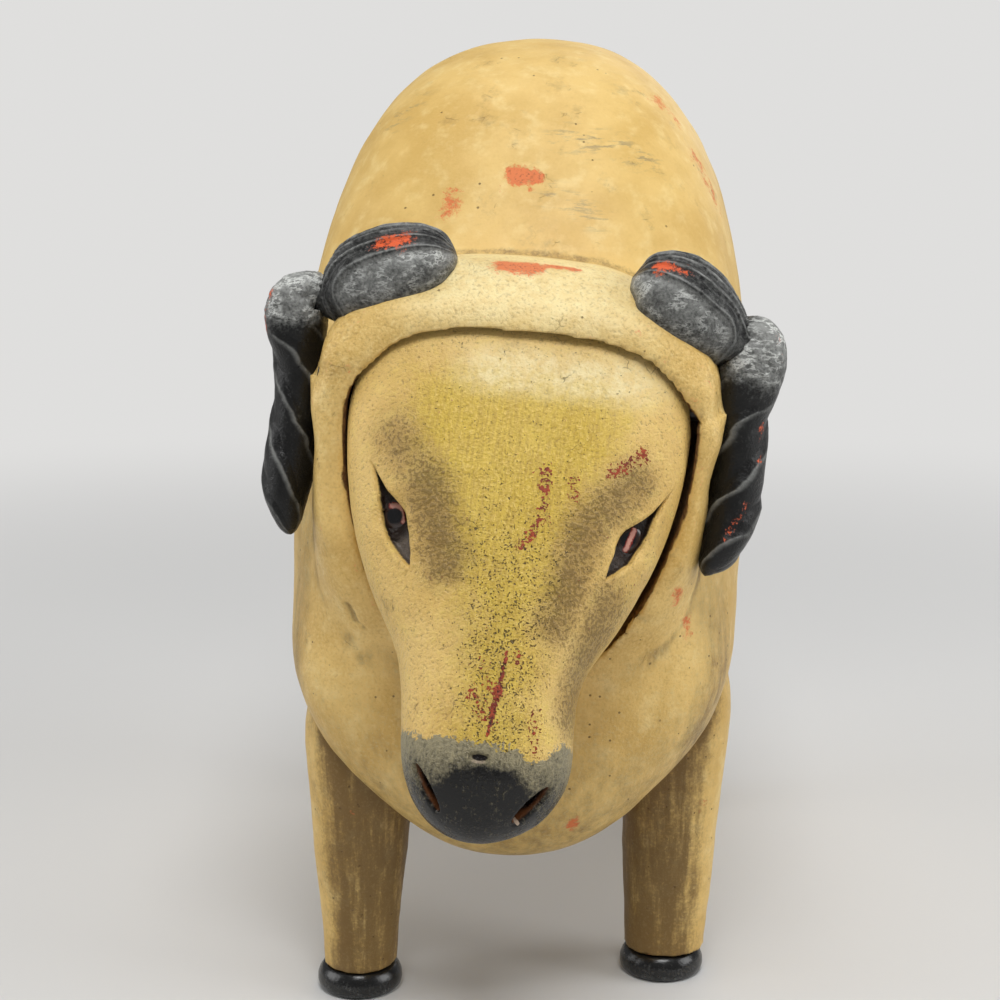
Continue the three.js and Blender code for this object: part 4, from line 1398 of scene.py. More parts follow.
        # Painted shade: darker where the face turns back from its front.
        lower = 0.25 * fade(forward, -1.0, 5.0)
        half = np.interp(down, *self.pit_half)
        face.mark(
            gold=gold,
            nose=nose,
            scuff=np.clip(0.98 - 1.3 * wet - 0.85 * fade(down, 75.0, 65.5), 0, 1),
            # Painted highlight along the crown's rolled edge.
            rolled=fade(np.abs(down - 12.0), 1.0, 5.5) * fade(np.abs(across - 6.0), 9.0, 19.0) * front,
            wear=marked(own, self.red),
            shade=np.clip(marked(own, self.brown) + lower, 0, 1),
            pits=fade(np.abs(across - 2.0) / half, 0.3, 1.1) * fade(down, 48.0, 12.0),
            raw=fade(LEAN.local(face.points)[:, 1], -1.2, -3.4),
            chip=marked(own, self.chips),
            smear=0.0,
        )

    def seat(self, side: Side) -> tuple[Array, float]:
        """The middle and the radius of an eye's bead."""
        low, high = in_mm(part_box("eye_" + side.word))
        return (low + high) / 2, float((high - low).min()) / 2

    def bead(self, side: Side, floor: Surface) -> Carving:
        """An eye bead, with how far each point lies off its gaze and where it is red.

        Args:
            side: Which eye.
            floor: The carved face, in whose cuts the beads lie.

        Returns:
            The bead.
        """
        middle, radius = self.seat(side)
        ball = bmesh.new()
        bmesh.ops.create_uvsphere(ball, u_segments=64, v_segments=48, radius=radius * MM)
        mesh = bpy.data.meshes.new("eye_" + side.word)
        ball.to_mesh(mesh)
        ball.free()
        bead = Carving(mesh)
        gaze = np.array([0.09 + 0.12 * side.value, -0.98, 0.18])
        start = middle + 9.0 * gaze + [self.bead_outward * side.value, 0.0, 0.0]
        hit, lean = floor.tree.ray_cast(Vector(start), Vector(-gaze))[:2]
        gaze = unit(gaze + np.array(lean))
        across = unit(np.cross([0.0, 0.0, 1.0], gaze))
        over = np.cross(gaze, across)
        reach = bead.points @ gaze
        spot = np.stack([bead.points @ across, bead.points @ over], axis=1)
        off = np.where(reach > 0, np.linalg.norm(spot, axis=1), 2 * radius)
        dome = self.bead_size * self.bead_flatness
        rest = self.bead_stand - radius * dome - np.maximum(reach, 0.0) * (self.bead_size - dome)
        bead.points = bead.points * self.bead_size + np.array(hit) + rest[:, None] * gaze
        # The red streaks; the shader paints their middles pink as a highlight.
        red = {
            Side.RIGHT: [((-0.3, 1.5), (0.5, 1.4), 1.1), ((0.9, 1.0), (1.3, -0.9), 0.6)],
            Side.LEFT: [((1.0, 1.5), (-0.35, -1.4), 0.8)],
        }[side]
        blush = np.max([fade(to_segment(spot, a, b), 0.1, r) for a, b, r in red], axis=0)
        bead.mark(off_gaze=off, blush=blush * (reach > 0), over=float(side is Side.LEFT))
        return bead

    def dress(self, finish: bpy.types.Material, eyes: bpy.types.Material) -> None:
        """Builds the pieces and sets them up.

        Args:
            finish: The face's paint.
            eyes: The beads' paint.
        """
        face = self.build()
        face.set_up("head", finish, Body.HEAD, Slot.FACE)
        floor = face.surface(np.abs(LEAN.face(face.points)[:, 1] - 34.0) < 12.0)
        for side in Side:
            self.bead(side, floor).set_up("eye_" + side.word, eyes, Body.HEAD, Slot.BEAD)


class HornBench(Bench):
    """The Geometry Nodes tree that sweeps a ridged horn along a path."""

    INPUTS = (
        ("Rings", "NodeSocketInt", 440),
        ("Sides", "NodeSocketInt", 180),
        ("Twist turn", "NodeSocketFloat", 1.0),
        ("Outer side", "NodeSocketFloat", 1.0),
        ("Cap reach", "NodeSocketFloat", 0.055),
        ("Ring width", "NodeSocketFloat", 0.036),
        ("Edge share", "NodeSocketFloat", 0.28),
        ("Unevenness", "NodeSocketFloat", 0.5),
        ("Seed", "NodeSocketFloat", 0.0),
        ("Paint", "NodeSocketMaterial", None),
    )

    def __init__(self) -> None:
        """Builds the tree."""
        tree = bpy.data.node_groups.new("ridged_horn", "GeometryNodeTree")
        super().__init__(tree)
        tree.is_modifier = True
        tree.interface.new_socket("Path", in_out="INPUT", socket_type="NodeSocketGeometry")
        tree.interface.new_socket("Horn", in_out="OUTPUT", socket_type="NodeSocketGeometry")
        self.names: dict[str, str] = {}
        for name, kind, start in self.INPUTS:
            socket = tree.interface.new_socket(name, in_out="INPUT", socket_type=kind)
            if start is not None:
                socket.default_value = start
            self.names[name] = socket.identifier
        given = self.add("NodeGroupInput").outputs
        swept, ridge, growth = self.sweep(given)
        for name, field in (("crest", ridge), ("growth", growth)):
            sockets = {"Geometry": swept, "Name": name, "Value": field}
            kept = self.add("GeometryNodeStoreNamedAttribute", sockets, data_type="FLOAT", domain="POINT")
            swept = kept.outputs[0]
        real = self.add("GeometryNodeRealizeInstances", {0: swept})
        painted = self.add("GeometryNodeSetMaterial", {0: real.outputs[0], "Material": given["Paint"]})
        self.add("NodeGroupOutput", {0: painted.outputs[0]})

    def named(self, name: str) -> Value:
        """A number that the path carries."""
        return self.value("GeometryNodeInputNamedAttribute", {"Name": name}, data_type="FLOAT")

    def capture(self, geometry: Any, kind: str, what: Any) -> tuple[Any, bpy.types.NodeSocket]:
        """Keeps a field on the points as they are now.

        Args:
            geometry: The points.
            kind: FLOAT or VECTOR.
            what: The field.

        Returns:
            The geometry and the kept field.
        """
        node = self.tree.nodes.new("GeometryNodeCaptureAttribute")
        node.capture_items.new(kind, "kept")
        self.tree.links.new(geometry, node.inputs[0])
        self.tree.links.new(what, node.inputs[1])
        return node.outputs[0], node.outputs[1]

    def sweep(self, given: Any) -> tuple[Any, Value, Value]:
        """The ridged sweep.

        Args:
            given: The group's inputs.

        Returns:
            The mesh, how high on a ridge each of its points lies, and how many rings off the cap.
        """
        line = self.add("GeometryNodeMeshToCurve", {0: given["Path"]}).outputs[0]
        line = self.add("GeometryNodeCurveSplineType", {0: line}, spline_type="CATMULL_ROM").outputs[0]
        line = self.add("GeometryNodeResampleCurve", {"Curve": line, "Count": given["Rings"]}).outputs[0]
        line, middle = self.capture(line, "VECTOR", self.add("GeometryNodeInputPosition").outputs[0])
        line, ahead = self.capture(line, "VECTOR", self.add("GeometryNodeInputTangent").outputs[0])
        ring = self.add("GeometryNodeCurvePrimitiveCircle", {"Resolution": given["Sides"], "Radius": MM})
        spot = self.add("GeometryNodeSplineParameter").outputs["Factor"]
        outline, spot = self.capture(ring.outputs[0], "FLOAT", spot)
        sockets = {"Curve": line, "Profile Curve": outline, "Fill Caps": True}
        skin = self.add("GeometryNodeCurveToMesh", sockets).outputs[0]
        turn = Value(self, spot)
        ridge, growth = self.ridges(given, turn, middle)
        backward = (0.0, 1.0, 0.0)
        deep = self.vector("SUBTRACT", backward, self.scaled(ahead, self.dot(ahead, backward)))
        deep = self.vector("NORMALIZE", deep)
        thick = self.vector("CROSS_PRODUCT", deep, ahead)
        angle = turn * (2 * math.pi)
        cosine = self.boxed(self.value("ShaderNodeMath", {0: angle}, operation="COSINE"))
        sine = self.boxed(self.value("ShaderNodeMath", {0: angle}, operation="SINE"))
        rise = (ridge - 1) * self.named("rise")
        out = self.scaled(thick, cosine * (self.named("thick") + rise) * MM)
        rear = self.scaled(deep, sine * (self.named("deep") + rise) * MM)
        place = self.vector("ADD", middle, self.vector("ADD", out, rear))
        moved = self.add("GeometryNodeSetPosition", {"Geometry": skin, "Position": place})
        return moved.outputs[0], ridge, growth

    def boxed(self, share: Value) -> Value:
        """A sine or cosine that makes the outline as square as the path says."""
        sign = self.value("ShaderNodeMath", {0: share}, operation="SIGN")
        return share.size() ** self.named("square") * sign

    def ridges(self, given: Any, turn: Value, middle: Any) -> tuple[Value, Value]:
        """Growth rings about the cap of the root, and a rope's twist down the rest.

        Args:
            given: The group's inputs.
            turn: The place round the horn.
            middle: The path.

        Returns:
            The ridges, from 0 in a groove to 1 on a crest, and how many rings off the cap.
        """
        seed = self.add("ShaderNodeCombineXYZ", {0: given["Seed"]}).outputs[0]
        where = self.vector("ADD", self.scaled(middle, 1 / MM), seed)
        uneven = (self.noise(where, 4.0, 2.0) - 0.5) * Value(self, given["Unevenness"])
        above = ((turn + 0.75).part() - 0.5) * Value(self, given["Outer side"])
        off_front = above.most((above + 0.25) * -2.0).most(0.0)
        off_end = self.named("off_end")
        off = (off_front * off_front + off_end * off_end) ** 0.5
        growth = (off - Value(self, given["Cap reach"])) / Value(self, given["Ring width"]) + uneven
        growth = growth.most(0.0) ** 1.4 * 0.4
        strand = self.named("phase") + turn * Value(self, given["Twist turn"]) + uneven + 10.0
        twist = self.named("twist")
        edge = Value(self, given["Edge share"])
        return self.ridge(growth, edge) * (1 - twist) + self.ridge(strand, edge) * twist, growth

    def ridge(self, phase: Value, edge: Value) -> Value:
        """One ridge for each whole number: a steep upper edge and a long fall behind it.

        Args:
            phase: The number.
            edge: The share of a ridge that is its steep edge.

        Returns:
            0 in the groove to 1 on the crest.
        """
        part = phase.part()
        climb = (part / edge).least(1.0)
        fall = ((1 - part) / (1 - edge)).least(1.0)
        return climb * fall


@dataclass(frozen=True)
class HornShape:
    """One horn: a fat root that lies across a corner of the hood, then a twisted strip.

    Places are out from the hood's side, behind its rim and below its crown. The root lies along
    the line from its heel to its tip: each place there has how far it is from the heel, how far
    it stands off the line, and how far behind the rim. Each place on root and strip ends with a
    half thickness and a half depth. The cap ends at a distance from the heel, and the strip has
    a number of strands.
    """

    tip: Pair
    heel: Pair
    cap_end: float
    strands: int
    root: tuple[tuple[float, float, float, float, float], ...]
    strip: tuple[tuple[float, float, float, float, float], ...]


@dataclass
class Horns:
    """The two curled horns: a ridged root on the hood's corner and a twisted end down its side."""

    wall: float = 29.9
    rim: float = -4.8
    crown: float = 19.7
    sunk: float = 0.7
    strand: float = 9.3
    ring_rise: float = 0.55
    strand_rise: float = 0.45
    turn_share: float = 0.021
    shapes = {
        Side.RIGHT: HornShape(
            (-19.3, 0.6),
            (-3.3, 12.1),
            7.9,
            4,
            (
                (19.7, 0.0, 7.6, 0.2, 0.2),
                (19.0, 0.3, 7.6, 2.6, 3.4),
                (17.4, 0.9, 7.7, 5.0, 5.8),
                (14.3, 1.8, 7.9, 6.6, 7.2),
                (10.5, 2.6, 8.3, 7.5, 7.9),
                (6.5, 3.2, 9.0, 7.6, 7.9),
                (3.4, 3.6, 10.0, 6.5, 7.0),
                (1.0, 4.1, 11.0, 4.3, 5.6),
            ),
            (
                (0.9, 11.8, 8.6, 2.9, 4.8),
                (3.0, 11.5, 8.3, 3.5, 5.4),
                (4.6, 11.1, 9.8, 4.4, 5.8),
                (4.6, 10.7, 13.2, 4.4, 6.0),
                (3.7, 10.2, 18.0, 4.1, 5.8),
                (3.4, 9.6, 23.0, 4.0, 5.6),
                (3.5, 9.0, 28.0, 4.0, 5.4),
                (3.9, 7.8, 33.5, 4.2, 5.2),
                (3.8, 6.2, 38.5, 3.4, 4.6),
                (3.0, 5.0, 42.0, 2.3, 3.2),
                (2.5, 4.5, 43.6, 1.1, 1.5),
                (2.3, 4.3, 44.1, 0.1, 0.1),
            ),
        ),
        Side.LEFT: HornShape(
            (-14.6, 1.3),
            (-0.5, 15.1),
            9.0,
            3,
            (
                (19.7, 0.0, 7.6, 0.2, 0.2),
                (19.0, 0.3, 7.6, 2.6, 3.4),
                (17.6, 1.0, 7.7, 5.4, 5.8),
                (15.0, 1.9, 7.9, 7.1, 7.2),
                (11.9, 2.7, 8.3, 7.6, 7.9),
                (8.4, 3.4, 9.0, 7.1, 7.9),
                (5.4, 4.2, 10.0, 5.8, 7.0),
                (3.0, 5.0, 11.0, 4.4, 5.8),
            ),
            (
                (3.0, 11.9, 9.4, 3.6, 5.0),
                (4.5, 11.6, 9.6, 4.1, 5.6),
                (5.0, 11.0, 11.6, 4.4, 5.8),
                (4.0, 10.6, 14.8, 4.9, 6.0),
                (3.3, 10.2, 19.5, 4.8, 5.8),
                (3.8, 9.6, 25.0, 4.2, 5.6),
                (3.9, 8.8, 30.5, 4.3, 5.4),
                (3.6, 7.4, 35.5, 4.0, 5.0),
                (2.4, 5.8, 39.8, 3.4, 4.2),
                (1.0, 4.8, 42.6, 2.0, 2.6),
                (0.6, 4.4, 43.7, 0.9, 1.1),
                (0.5, 4.3, 44.1, 0.1, 0.1),
            ),
        ),
    }
    red: tuple[Patch, ...] = (
        Patch((-18.8, -59.6, 123.4), (-15.2, -59.4, 124.0), 4.0, 0.95),
        Patch((-35.5, -56.0, 116.6), (-36.6, -56.0, 111.5), 2.4, 0.8),
        Patch((-37.5, -58.0, 101.5), (-36.5, -60.0, 97.5), 2.6, 0.66),
        Patch((-38.6, -59.0, 93.0), (-38.0, -60.0, 86.0), 2.4, 0.62),
        Patch((21.8, -59.2, 120.2), (25.0, -59.2, 119.6), 3.4, 0.95),
        Patch((38.8, -56.0, 110.5), (39.0, -56.0, 107.0), 2.0, 0.66),
        Patch((37.6, -57.0, 97.5), (37.2, -58.0, 93.0), 2.2, 0.7),
        Patch((36.5, -59.5, 88.0), (32.0, -61.5, 82.0), 2.0, 0.62),
    )

    def line(self, side: Side) -> bpy.types.Object:
        """The horn's path, with what each of its points carries.

        Args:
            side: Which horn.

        Returns:
            An object that holds the path alone.
        """
        shape = self.shapes[side]
        heel = np.array(shape.heel)
        along = unit(np.array(shape.tip) - heel)
        places, rows = [], []
        for far, stand, behind, thick, deep in shape.root:
            out, below = heel + far * along + stand * np.array([-along[1], along[0]])
            places.append((out, behind, below))
            off_end = max(0.0, shape.cap_end - far) * self.turn_share
            rows.append((thick, deep, self.ring_rise * min(1.0, thick / 5.0), 0.0, 0.0, off_end, 1.0))
        travel, last = 0.0, np.array(shape.strip[0][:3])
        for out, behind, below, thick, deep in shape.strip:
            place = np.array([out, behind, below])
            pace = float(np.linalg.norm(place - last))
            travel += pace
            places.append((out, behind, below))
            off_end += (pace + 0.5) * self.turn_share
            knob = float(fade(np.array(travel), 8.0, 12.0))
            rise = self.ring_rise * max(0.05, 1 - travel / 2.5) * knob + self.strand_rise * (1 - knob)
            rise *= min(1.0, thick / 3.2)
            twist = min(1.0, max(0.0, travel - 4.0) / 4.0)
            rows.append((thick, deep, rise, travel / self.strand, twist, off_end, 1.0 - 0.35 * knob))
            last = place
        local = [(side.value * (self.wall + o), self.rim + b, self.crown - d) for o, b, d in places]
        mesh = bpy.data.meshes.new("horn_line")
        points = [Vector(p) for p in LEAN.world(np.array(local)) * MM]
        mesh.from_pydata(points, [(i, i + 1) for i in range(len(points) - 1)], [])
        names = ("thick", "deep", "rise", "phase", "twist", "off_end", "square")
        Carving(mesh).mark(**dict(zip(names, np.array(rows).T)))
        return linked("horn_line", mesh)

    def build(self, side: Side, bench: HornBench, paint: bpy.types.Material, seat: Surface) -> Carving:
        """One horn, seated in the hood.

        Args:
            side: Which horn.
            bench: The tree that sweeps it.
            paint: Its material.
            seat: The outside of the body.

        Returns:
            The horn's mesh.
        """
        line = self.line(side)
        sweep = line.modifiers.new("sweep", "NODES")
        sweep.node_group = bench.tree
        sweep[bench.names["Seed"]] = 40.0 + 9.0 * side.value
        sweep[bench.names["Twist turn"]] = -float(self.shapes[side].strands * side.value)
        sweep[bench.names["Outer side"]] = -float(side.value)
        sweep[bench.names["Paint"]] = paint
        horn = Carving(evaluated_mesh(line))
        phase = horn.read("phase")
        rasped = fade(phase, 0.2, 0.05) * fade(phase, 0.6, 1.1)
        horn.push(0.10 * lumps(horn.points, 2.6, 7) + 0.16 * rasped * lumps(horn.points, 0.9, 12))
        places, normals, _ = seat.nearest(horn.points)
        height = dots(horn.points - places, normals)
        under = height < -self.sunk
        horn.points[under] = (places - normals * self.sunk)[under]
        horn.clip()
        self.mark(horn, height)
        return horn

    def mark(self, horn: Carving, height: Array) -> None:
        """Marks where the paint wears grey and through, and a painted highlight where the horn faces up.

        Args:
            horn: The horn.
            height: How far each point stands off the hood.
        """
        stand = horn.stand(8)
        twist, phase, growth = horn.read("twist"), horn.read("phase"), horn.read("growth")
        # Painted highlight: top is 1 where the horn faces up, and it makes the grey and the pale lines
        # lighter there.
        top = fade(horn.normals()[:, 2], 0.8, -0.3)
        knob = fade(phase, 0.16, 0.02) * fade(phase, 0.6, 1.1)
        root = (1 - twist) * (1 - knob)
        cap = fade(growth, 0.0, 0.1) * (1 - twist) * root * (1 - 0.5 * fade(height, 0.2, 1.4))
        rub_and_highlight = 0.14 + 0.26 * root + 0.5 * cap * (0.35 + 0.65 * top) + 0.8 * knob * (0.55 + 0.45 * top)
        arc = np.exp(-(((growth - 0.1) / 0.07) ** 2)) * (1 - twist) * (0.4 + 0.6 * top)
        crest = fade(horn.read("crest"), 1.0, 0.8) * (0.35 + 0.65 * top)
        horn.mark(
            rub_and_highlight=np.clip(rub_and_highlight, 0, 1),
            line=np.maximum(arc, crest) * (1 - knob),
            wear=np.maximum(marked(horn.points, self.red), fade(stand, 0.35, 0.12) * 0.4),
        )

    def dress(self, paint: bpy.types.Material, seat: Surface) -> None:
        """Builds both horns and sets them up.

        Args:
            paint: Their material.
            seat: The outside of the body.
        """
        bench = HornBench()
        for side in Side:
            horn = self.build(side, bench, paint, seat)
            horn.set_up("horn_" + side.word, paint, Body.FIGURE, Slot.BLACK)


@dataclass
class Legs:
    """Four legs, each glued to the body, and the turned hooves under them."""

    names: tuple[str, ...] = ("front_right", "front_left", "rear_right", "rear_left")
    scale: float = 0.5
    smoothing: int = 60
    layers: tuple[Layer, ...] = ((0.18, 9.0, 8), (0.06, 3.0, 9))
    sunk: float = 0.4
    shoulder: float = 16.0
    shoulder_sunk: float = 1.8
    heights: tuple[float, ...] = (6.0, 14.0, 23.0, 33.0, 40.0, 46.0)
    outer_fill_right: tuple[float, ...] = (-0.3, 0.1, 0.45, 0.6, 0.7, 1.0)
    outer_fill_left: tuple[float, ...] = (0.9, 1.3, 0.8, 0.45, 0.4, 0.6)
    inner_fill: float = 1.2
    foot_flare: float = 0.3
    red: tuple[Patch, ...] = (
        Patch((29.6, -36.2, 33.5), (29.2, -36.2, 30.5), 2.4, 0.8),
        Patch((27.5, -36.2, 36.0), (28.5, -36.2, 34.5), 1.6, 0.7),
        Patch((-27.0, -48.5, 36.0), (-26.5, -48.5, 33.0), 2.4, 0.6),
        Patch((30.0, 52.0, 20.0), (29.0, 52.0, 15.0), 2.5, 0.75),
    )
    hoof_profile: tuple[Pair, ...] = (
        (0.0, 0.0),
        (5.9, 0.0),
        (6.45, 0.22),
        (6.9, 0.75),
        (7.08, 1.5),
        (7.02, 2.4),
        (6.72, 3.2),
        (6.3, 3.85),
        (5.95, 4.2),
        (5.6, 4.3),
        (2.5, 4.3),
        (2.5, 13.2),
        (0.0, 13.2),
    )
    hoof_sides: int = 72

    def build(self, name: str, seat: Surface) -> Carving:
        """One leg, with its marks.

        Args:
            name: Which leg.
            seat: The outside of the body.

        Returns:
            The leg's mesh.
        """
        leg = Carving.of_node("leg_" + name, self.scale)
        leg.fair(self.smoothing, fade(leg.points[:, 2], 4.8, 6.0))
        leg.ease(2, np.zeros(len(leg.points)))
        side = np.sign(leg.points[:, 0].mean())
        self.fill_out(leg, side)
        gap = self.sink_top(leg, seat)
        leg.clip()
        up = leg.points[:, 2]
        # Painted shade: the leg is darker on its front and inner side, near the foot and where it meets the
        # body.
        inner = fade(side * leg.normals()[:, 0], 0.1, 0.95)
        shade = 0.2 + 0.75 * inner + 0.15 * fade(up, 5.0, 12.0) + 0.15 * fade(gap, 0.4, 3.0)
        rim = fade(up, 4.8, 5.8) * 0.3
        wear = np.maximum(marked(leg.points, self.red), rim)
        leg.mark(raw=0.0, grain=0.12, shade=np.clip(shade, 0, 1), wear=wear, smear=0.0)
        return leg

    def fill_out(self, leg: Carving, side: float) -> None:
        """Fills the leg's outer and inner side and flares its foot.

        Args:
            leg: The leg.
            side: Which way it lies across, -1 or 1.
        """
        up, facing = leg.points[:, 2], side * leg.normals()[:, 0]
        outer = np.interp(up, self.heights, self.outer_fill_left if side > 0 else self.outer_fill_right)
        inner = self.inner_fill * np.clip((up - 4.0) / 20.0, 0, 1)
        move = outer * fade(facing, 0.6, -0.6) - inner * fade(facing, -0.8, 0.2)
        out = leg.points[:, :2] - leg.points[up < 7.0, :2].mean(axis=0)
        out /= np.maximum(np.linalg.norm(out, axis=1), NEARLY_NONE)[:, None]
        leg.points[:, :2] += out * (self.foot_flare * fade(up, 5.0, 12.0))[:, None]
        leg.points[:, 0] += side * move

    def sink_top(self, leg: Carving, seat: Surface) -> Array:
        """Roughens the leg and sinks its top into the body.

        Args:
            leg: The leg.
            seat: The outside of the body.

        Returns:
            Each point's gap to the body.
        """
        places, normals, gap = seat.nearest(leg.points)
        height = dots(leg.points - places, normals)
        leg.push(relief(leg.points, self.layers) * (1 - fade(gap, 0.5, 3.0)))
        up = leg.points[:, 2]
        near_top = fade(up, up.max(), up.max() - self.shoulder)
        leg.points -= normals * (self.shoulder_sunk * near_top * fade(height, 1.0, 6.0))[:, None]
        under = (height < 0.9) & (gap < 1.6)
        leg.points[under] = (places - normals * self.sunk)[under]
        soft = leg.soften(leg.points, 4)
        leg.points += (soft - leg.points) * (0.9 * fade(gap, 0.8, 2.6))[:, None]
        return gap

    def hoof(self, name: str) -> Carving:
        """One turned hoof, with its marks.

        Args:
            name: Which leg it is under.

        Returns:
            The hoof's mesh.
        """
        low, high = in_mm(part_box("hoof_" + name))
        middle = (low + high) / 2
        ring = bmesh.new()
        points = [ring.verts.new((r * MM, 0.0, h * MM)) for r, h in self.hoof_profile]
        edges = [ring.edges.new(pair) for pair in zip(points, points[1:])]
        bmesh.ops.spin(
            ring,
            geom=[*points, *edges],
            angle=2 * math.pi,
            steps=self.hoof_sides,
            axis=(0, 0, 1),
            cent=(0, 0, 0),
            use_merge=True,
        )
        bmesh.ops.remove_doubles(ring, verts=ring.verts, dist=NEARLY_NONE)
        bmesh.ops.recalc_face_normals(ring, faces=ring.faces)
        mesh = bpy.data.meshes.new("hoof_" + name)
        ring.to_mesh(mesh)
        ring.free()
        hoof = Carving(mesh)
        hoof.points += [middle[0], middle[1], 0.0]
        uneven = 0.12 * lumps(hoof.points, 5.0, 10) * fade(hoof.points[:, 2], 1.5, 0.3)
        hoof.push(np.minimum(uneven, 0.02))
        hoof.clip()
        radius = np.linalg.norm(hoof.points[:, :2] - middle[:2], axis=1)
        rub_and_highlight = 0.25 * fade(radius, 7.0, 6.0) + 0.2 * fade(hoof.points[:, 2], 0.2, 1.2)
        hoof.mark(rub_and_highlight=rub_and_highlight, line=0.0, wear=0.05)
        return hoof

    def dress(self, paint: bpy.types.Material, black: bpy.types.Material, seat: Surface) -> None:
        """Builds the pieces and sets them up.

        Args:
            paint: The legs' paint.
            black: The hooves' paint.
            seat: The outside of the body.
        """
        for name in self.names:
            self.build(name, seat).set_up("leg_" + name, paint, Body.FIGURE, Slot.TAN)
            self.hoof(name).set_up("hoof_" + name, black, Body.FIGURE, Slot.BLACK)


@dataclass
class Tail:
    """The short tail that lies down the rump."""

    scale: float = 0.45
    smoothing: int = 50
    layers: tuple[Layer, ...] = ((0.12, 6.0, 11),)
    dowel_cover: float = 0.9
    thinned: float = 0.05

    def dress(self, paint: bpy.types.Material) -> None:
        """Builds the piece and sets it up."""
        tail = Carving.of_node("tail", self.scale)
        tail.fair(self.smoothing, np.zeros(len(tail.points)))
        low, high = in_mm(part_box("tail_dowel"))
        off = np.linalg.norm((tail.points - (low + high) / 2)[:, [0, 2]], axis=1)
        over = self.dowel_cover * fade(off, 2.0, 6.0) * fade(tail.normals()[:, 1], 0.4, 0.0)
        tail.push(relief(tail.points, self.layers) - self.thinned + over)
        tail.clip()
        tail.mark(raw=0.0, grain=0.4, shade=0.3, wear=0.1, smear=0.0)
        tail.set_up("tail", paint, Body.FIGURE, Slot.TAN)


@dataclass
class HiddenWork:
    """The dowels, the nod pin, the stem and its weight, which keep their CAD shape."""

    upright: tuple[str, ...] = (
        "leg_dowel_front_right",
        "leg_dowel_front_left",
        "leg_dowel_rear_right",
        "leg_dowel_rear_left",
    )
    across: tuple[str, ...] = ("horn_dowel_right", "horn_dowel_left")
    lengthwise: tuple[str, ...] = ("tail_dowel", "neck_stem")
    iron: tuple[str, ...] = ("nod_pin", "counterweight")

    def dress(self) -> None:
        """Gives each node its material."""
        coarse, drawn = 1.4, 0.12
        groups = (
            (self.upright, BareWood("upright_dowel", (coarse, coarse, drawn)).make()),
            (self.across, BareWood("cross_dowel", (drawn, coarse, coarse)).make()),
            (self.lengthwise, BareWood("long_dowel", (coarse, drawn, coarse)).make()),
            (self.iron, Iron().make()),
        )
        for nodes, material in groups:
            for node in nodes:
                for slot in frame["nodes"][node].material_slots:
                    slot.material = material
                LOG.info("%s: CAD shape, %s", node, material.name)


@dataclass(frozen=True)
class Lamp:
    """A square soft lamp, with its place and its side in metres."""

    name: str
    place: Point
    size: float
    watts: float

    def hang(self, target: Vector) -> None:
        """Puts it in the scene, facing the target."""
        light = bpy.data.lights.new(self.name, "AREA")
        light.size = self.size
        light.energy = self.watts
        holder = linked(self.name, light)
        holder.location = self.place
        holder.rotation_euler = (target - Vector(self.place)).to_track_quat("-Z", "Y").to_euler()


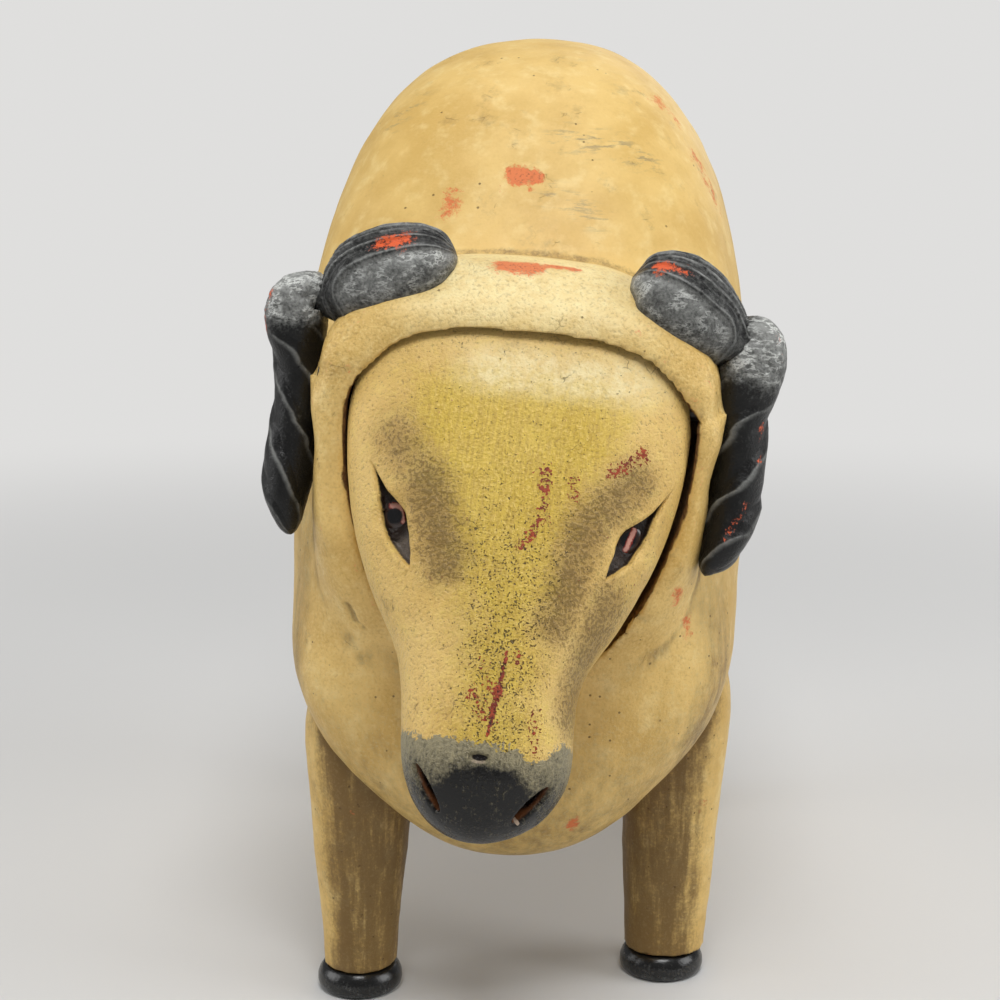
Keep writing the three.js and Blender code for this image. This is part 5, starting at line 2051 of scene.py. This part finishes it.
@dataclass
class Studio:
    """A pale floor, soft light from above and the camera."""

    floor_tone: Colour = (0.64, 0.638, 0.63)
    pale: Colour = (0.74, 0.735, 0.725)
    lens: float = 64.8
    sensor: float = 36.0
    azimuth: float = 5.0
    depression: float = 10.5
    aim: Point = (-1.32, -62.0, 87.0)
    distance: float = 261.0
    floor_half_in_metres: float = 12.0
    floor_fades: Pair = (170.0, 620.0)
    world_level: float = 0.22
    lit_in_metres: Point = (0.0, -0.02, 0.08)
    lamps: tuple[Lamp, ...] = (
        Lamp("key", (0.06, -0.46, 0.78), 0.34, 4.2),
        Lamp("top", (0.0, 0.12, 0.92), 0.5, 1.4),
        Lamp("left_side", (-0.72, -0.12, 0.36), 0.45, 2.0),
        Lamp("right_side", (0.72, -0.12, 0.36), 0.45, 2.5),
        Lamp("back", (0.30, 0.75, 0.45), 0.6, 1.0),
    )

    def shown_by(self, bench: Bench) -> Value:
        """1 for what the camera sees, 0 for light."""
        return bench.value("ShaderNodeLightPath", out="Is Camera Ray")

    def floor(self) -> None:
        """A wide floor that turns into the backdrop's tone far away."""
        bench = PaintBench("studio_floor")
        far = bench.value("ShaderNodeVectorMath", {0: bench.place}, "Value", operation="LENGTH")
        tone = (*self.pale, 1.0)
        sockets = {"Base Color": (*self.floor_tone, 1.0), "Roughness": 0.85}
        matt = bench.add("ShaderNodeBsdfPrincipled", sockets)
        glow = bench.add("ShaderNodeEmission", {"Color": tone, "Strength": 1.0})
        share = far.step(*self.floor_fades) * self.shown_by(bench)
        both = bench.add("ShaderNodeMixShader", {0: share, 1: matt.outputs[0], 2: glow.outputs[0]})
        bench.add("ShaderNodeOutputMaterial", {"Surface": both.outputs[0]})
        half = self.floor_half_in_metres
        corners = [(-half, -half, 0), (half, -half, 0), (half, half, 0), (-half, half, 0)]
        mesh = bpy.data.meshes.new("floor")
        mesh.from_pydata(corners, [], [(0, 1, 2, 3)])
        mesh.materials.append(bench.material)
        floor = linked("studio_floor", mesh)

    def world(self) -> None:
        """Even light all round, and the pale backdrop."""
        world = bpy.data.worlds.new("studio")
        world.use_nodes = True
        bench = Bench(world.node_tree)
        tone = (*self.pale, 1.0)
        light = bench.add("ShaderNodeBackground", {"Color": (1, 1, 1, 1), "Strength": self.world_level})
        shown = bench.add("ShaderNodeBackground", {"Color": tone, "Strength": 1.0})
        share = self.shown_by(bench)
        both = bench.add("ShaderNodeMixShader", {0: share, 1: light.outputs[0], 2: shown.outputs[0]})
        bench.add("ShaderNodeOutputWorld", {"Surface": both.outputs[0]})
        bpy.context.scene.world = world

    def camera(self) -> None:
        """The camera at the photograph's place and angle."""
        lens = bpy.data.cameras.new("camera")
        lens.lens = self.lens
        lens.sensor_width = self.sensor
        lens.clip_start = 0.01
        holder = linked("camera", lens)
        turn, dip = math.radians(self.azimuth), math.radians(self.depression)
        offset = Vector((math.sin(turn), -math.cos(turn), math.tan(dip))) * self.distance
        holder.location = (Vector(self.aim) + offset) * MM
        holder.rotation_euler = (math.pi / 2 - dip, 0.0, turn)
        bpy.context.scene.camera = holder

    def build(self) -> None:
        """Sets the whole scene."""
        self.floor()
        self.world()
        for lamp in self.lamps:
            lamp.hang(Vector(self.lit_in_metres))
        self.camera()
        bpy.context.scene.view_settings.view_transform = "Standard"


def main() -> None:
    """Builds every piece, dresses it and sets the scene."""
    logging.basicConfig(level=logging.INFO, format="%(name)s: %(message)s")
    tan = TanPaint().make()
    black = BlackPaint().make()
    body = CarvedBody()
    body.dress(tan)
    NoddingHead().dress(FacePaint().make(), EyePaint().make())
    Horns().dress(black, body.outside)
    glossy = BlackPaint("glossy_black_paint", rough=0.22, grain=0.05, shine=0.5).make()
    Legs().dress(tan, glossy, body.outside)
    Tail().dress(tan)
    HiddenWork().dress()
    Studio().build()


if __name__ == "__main__":
    main()
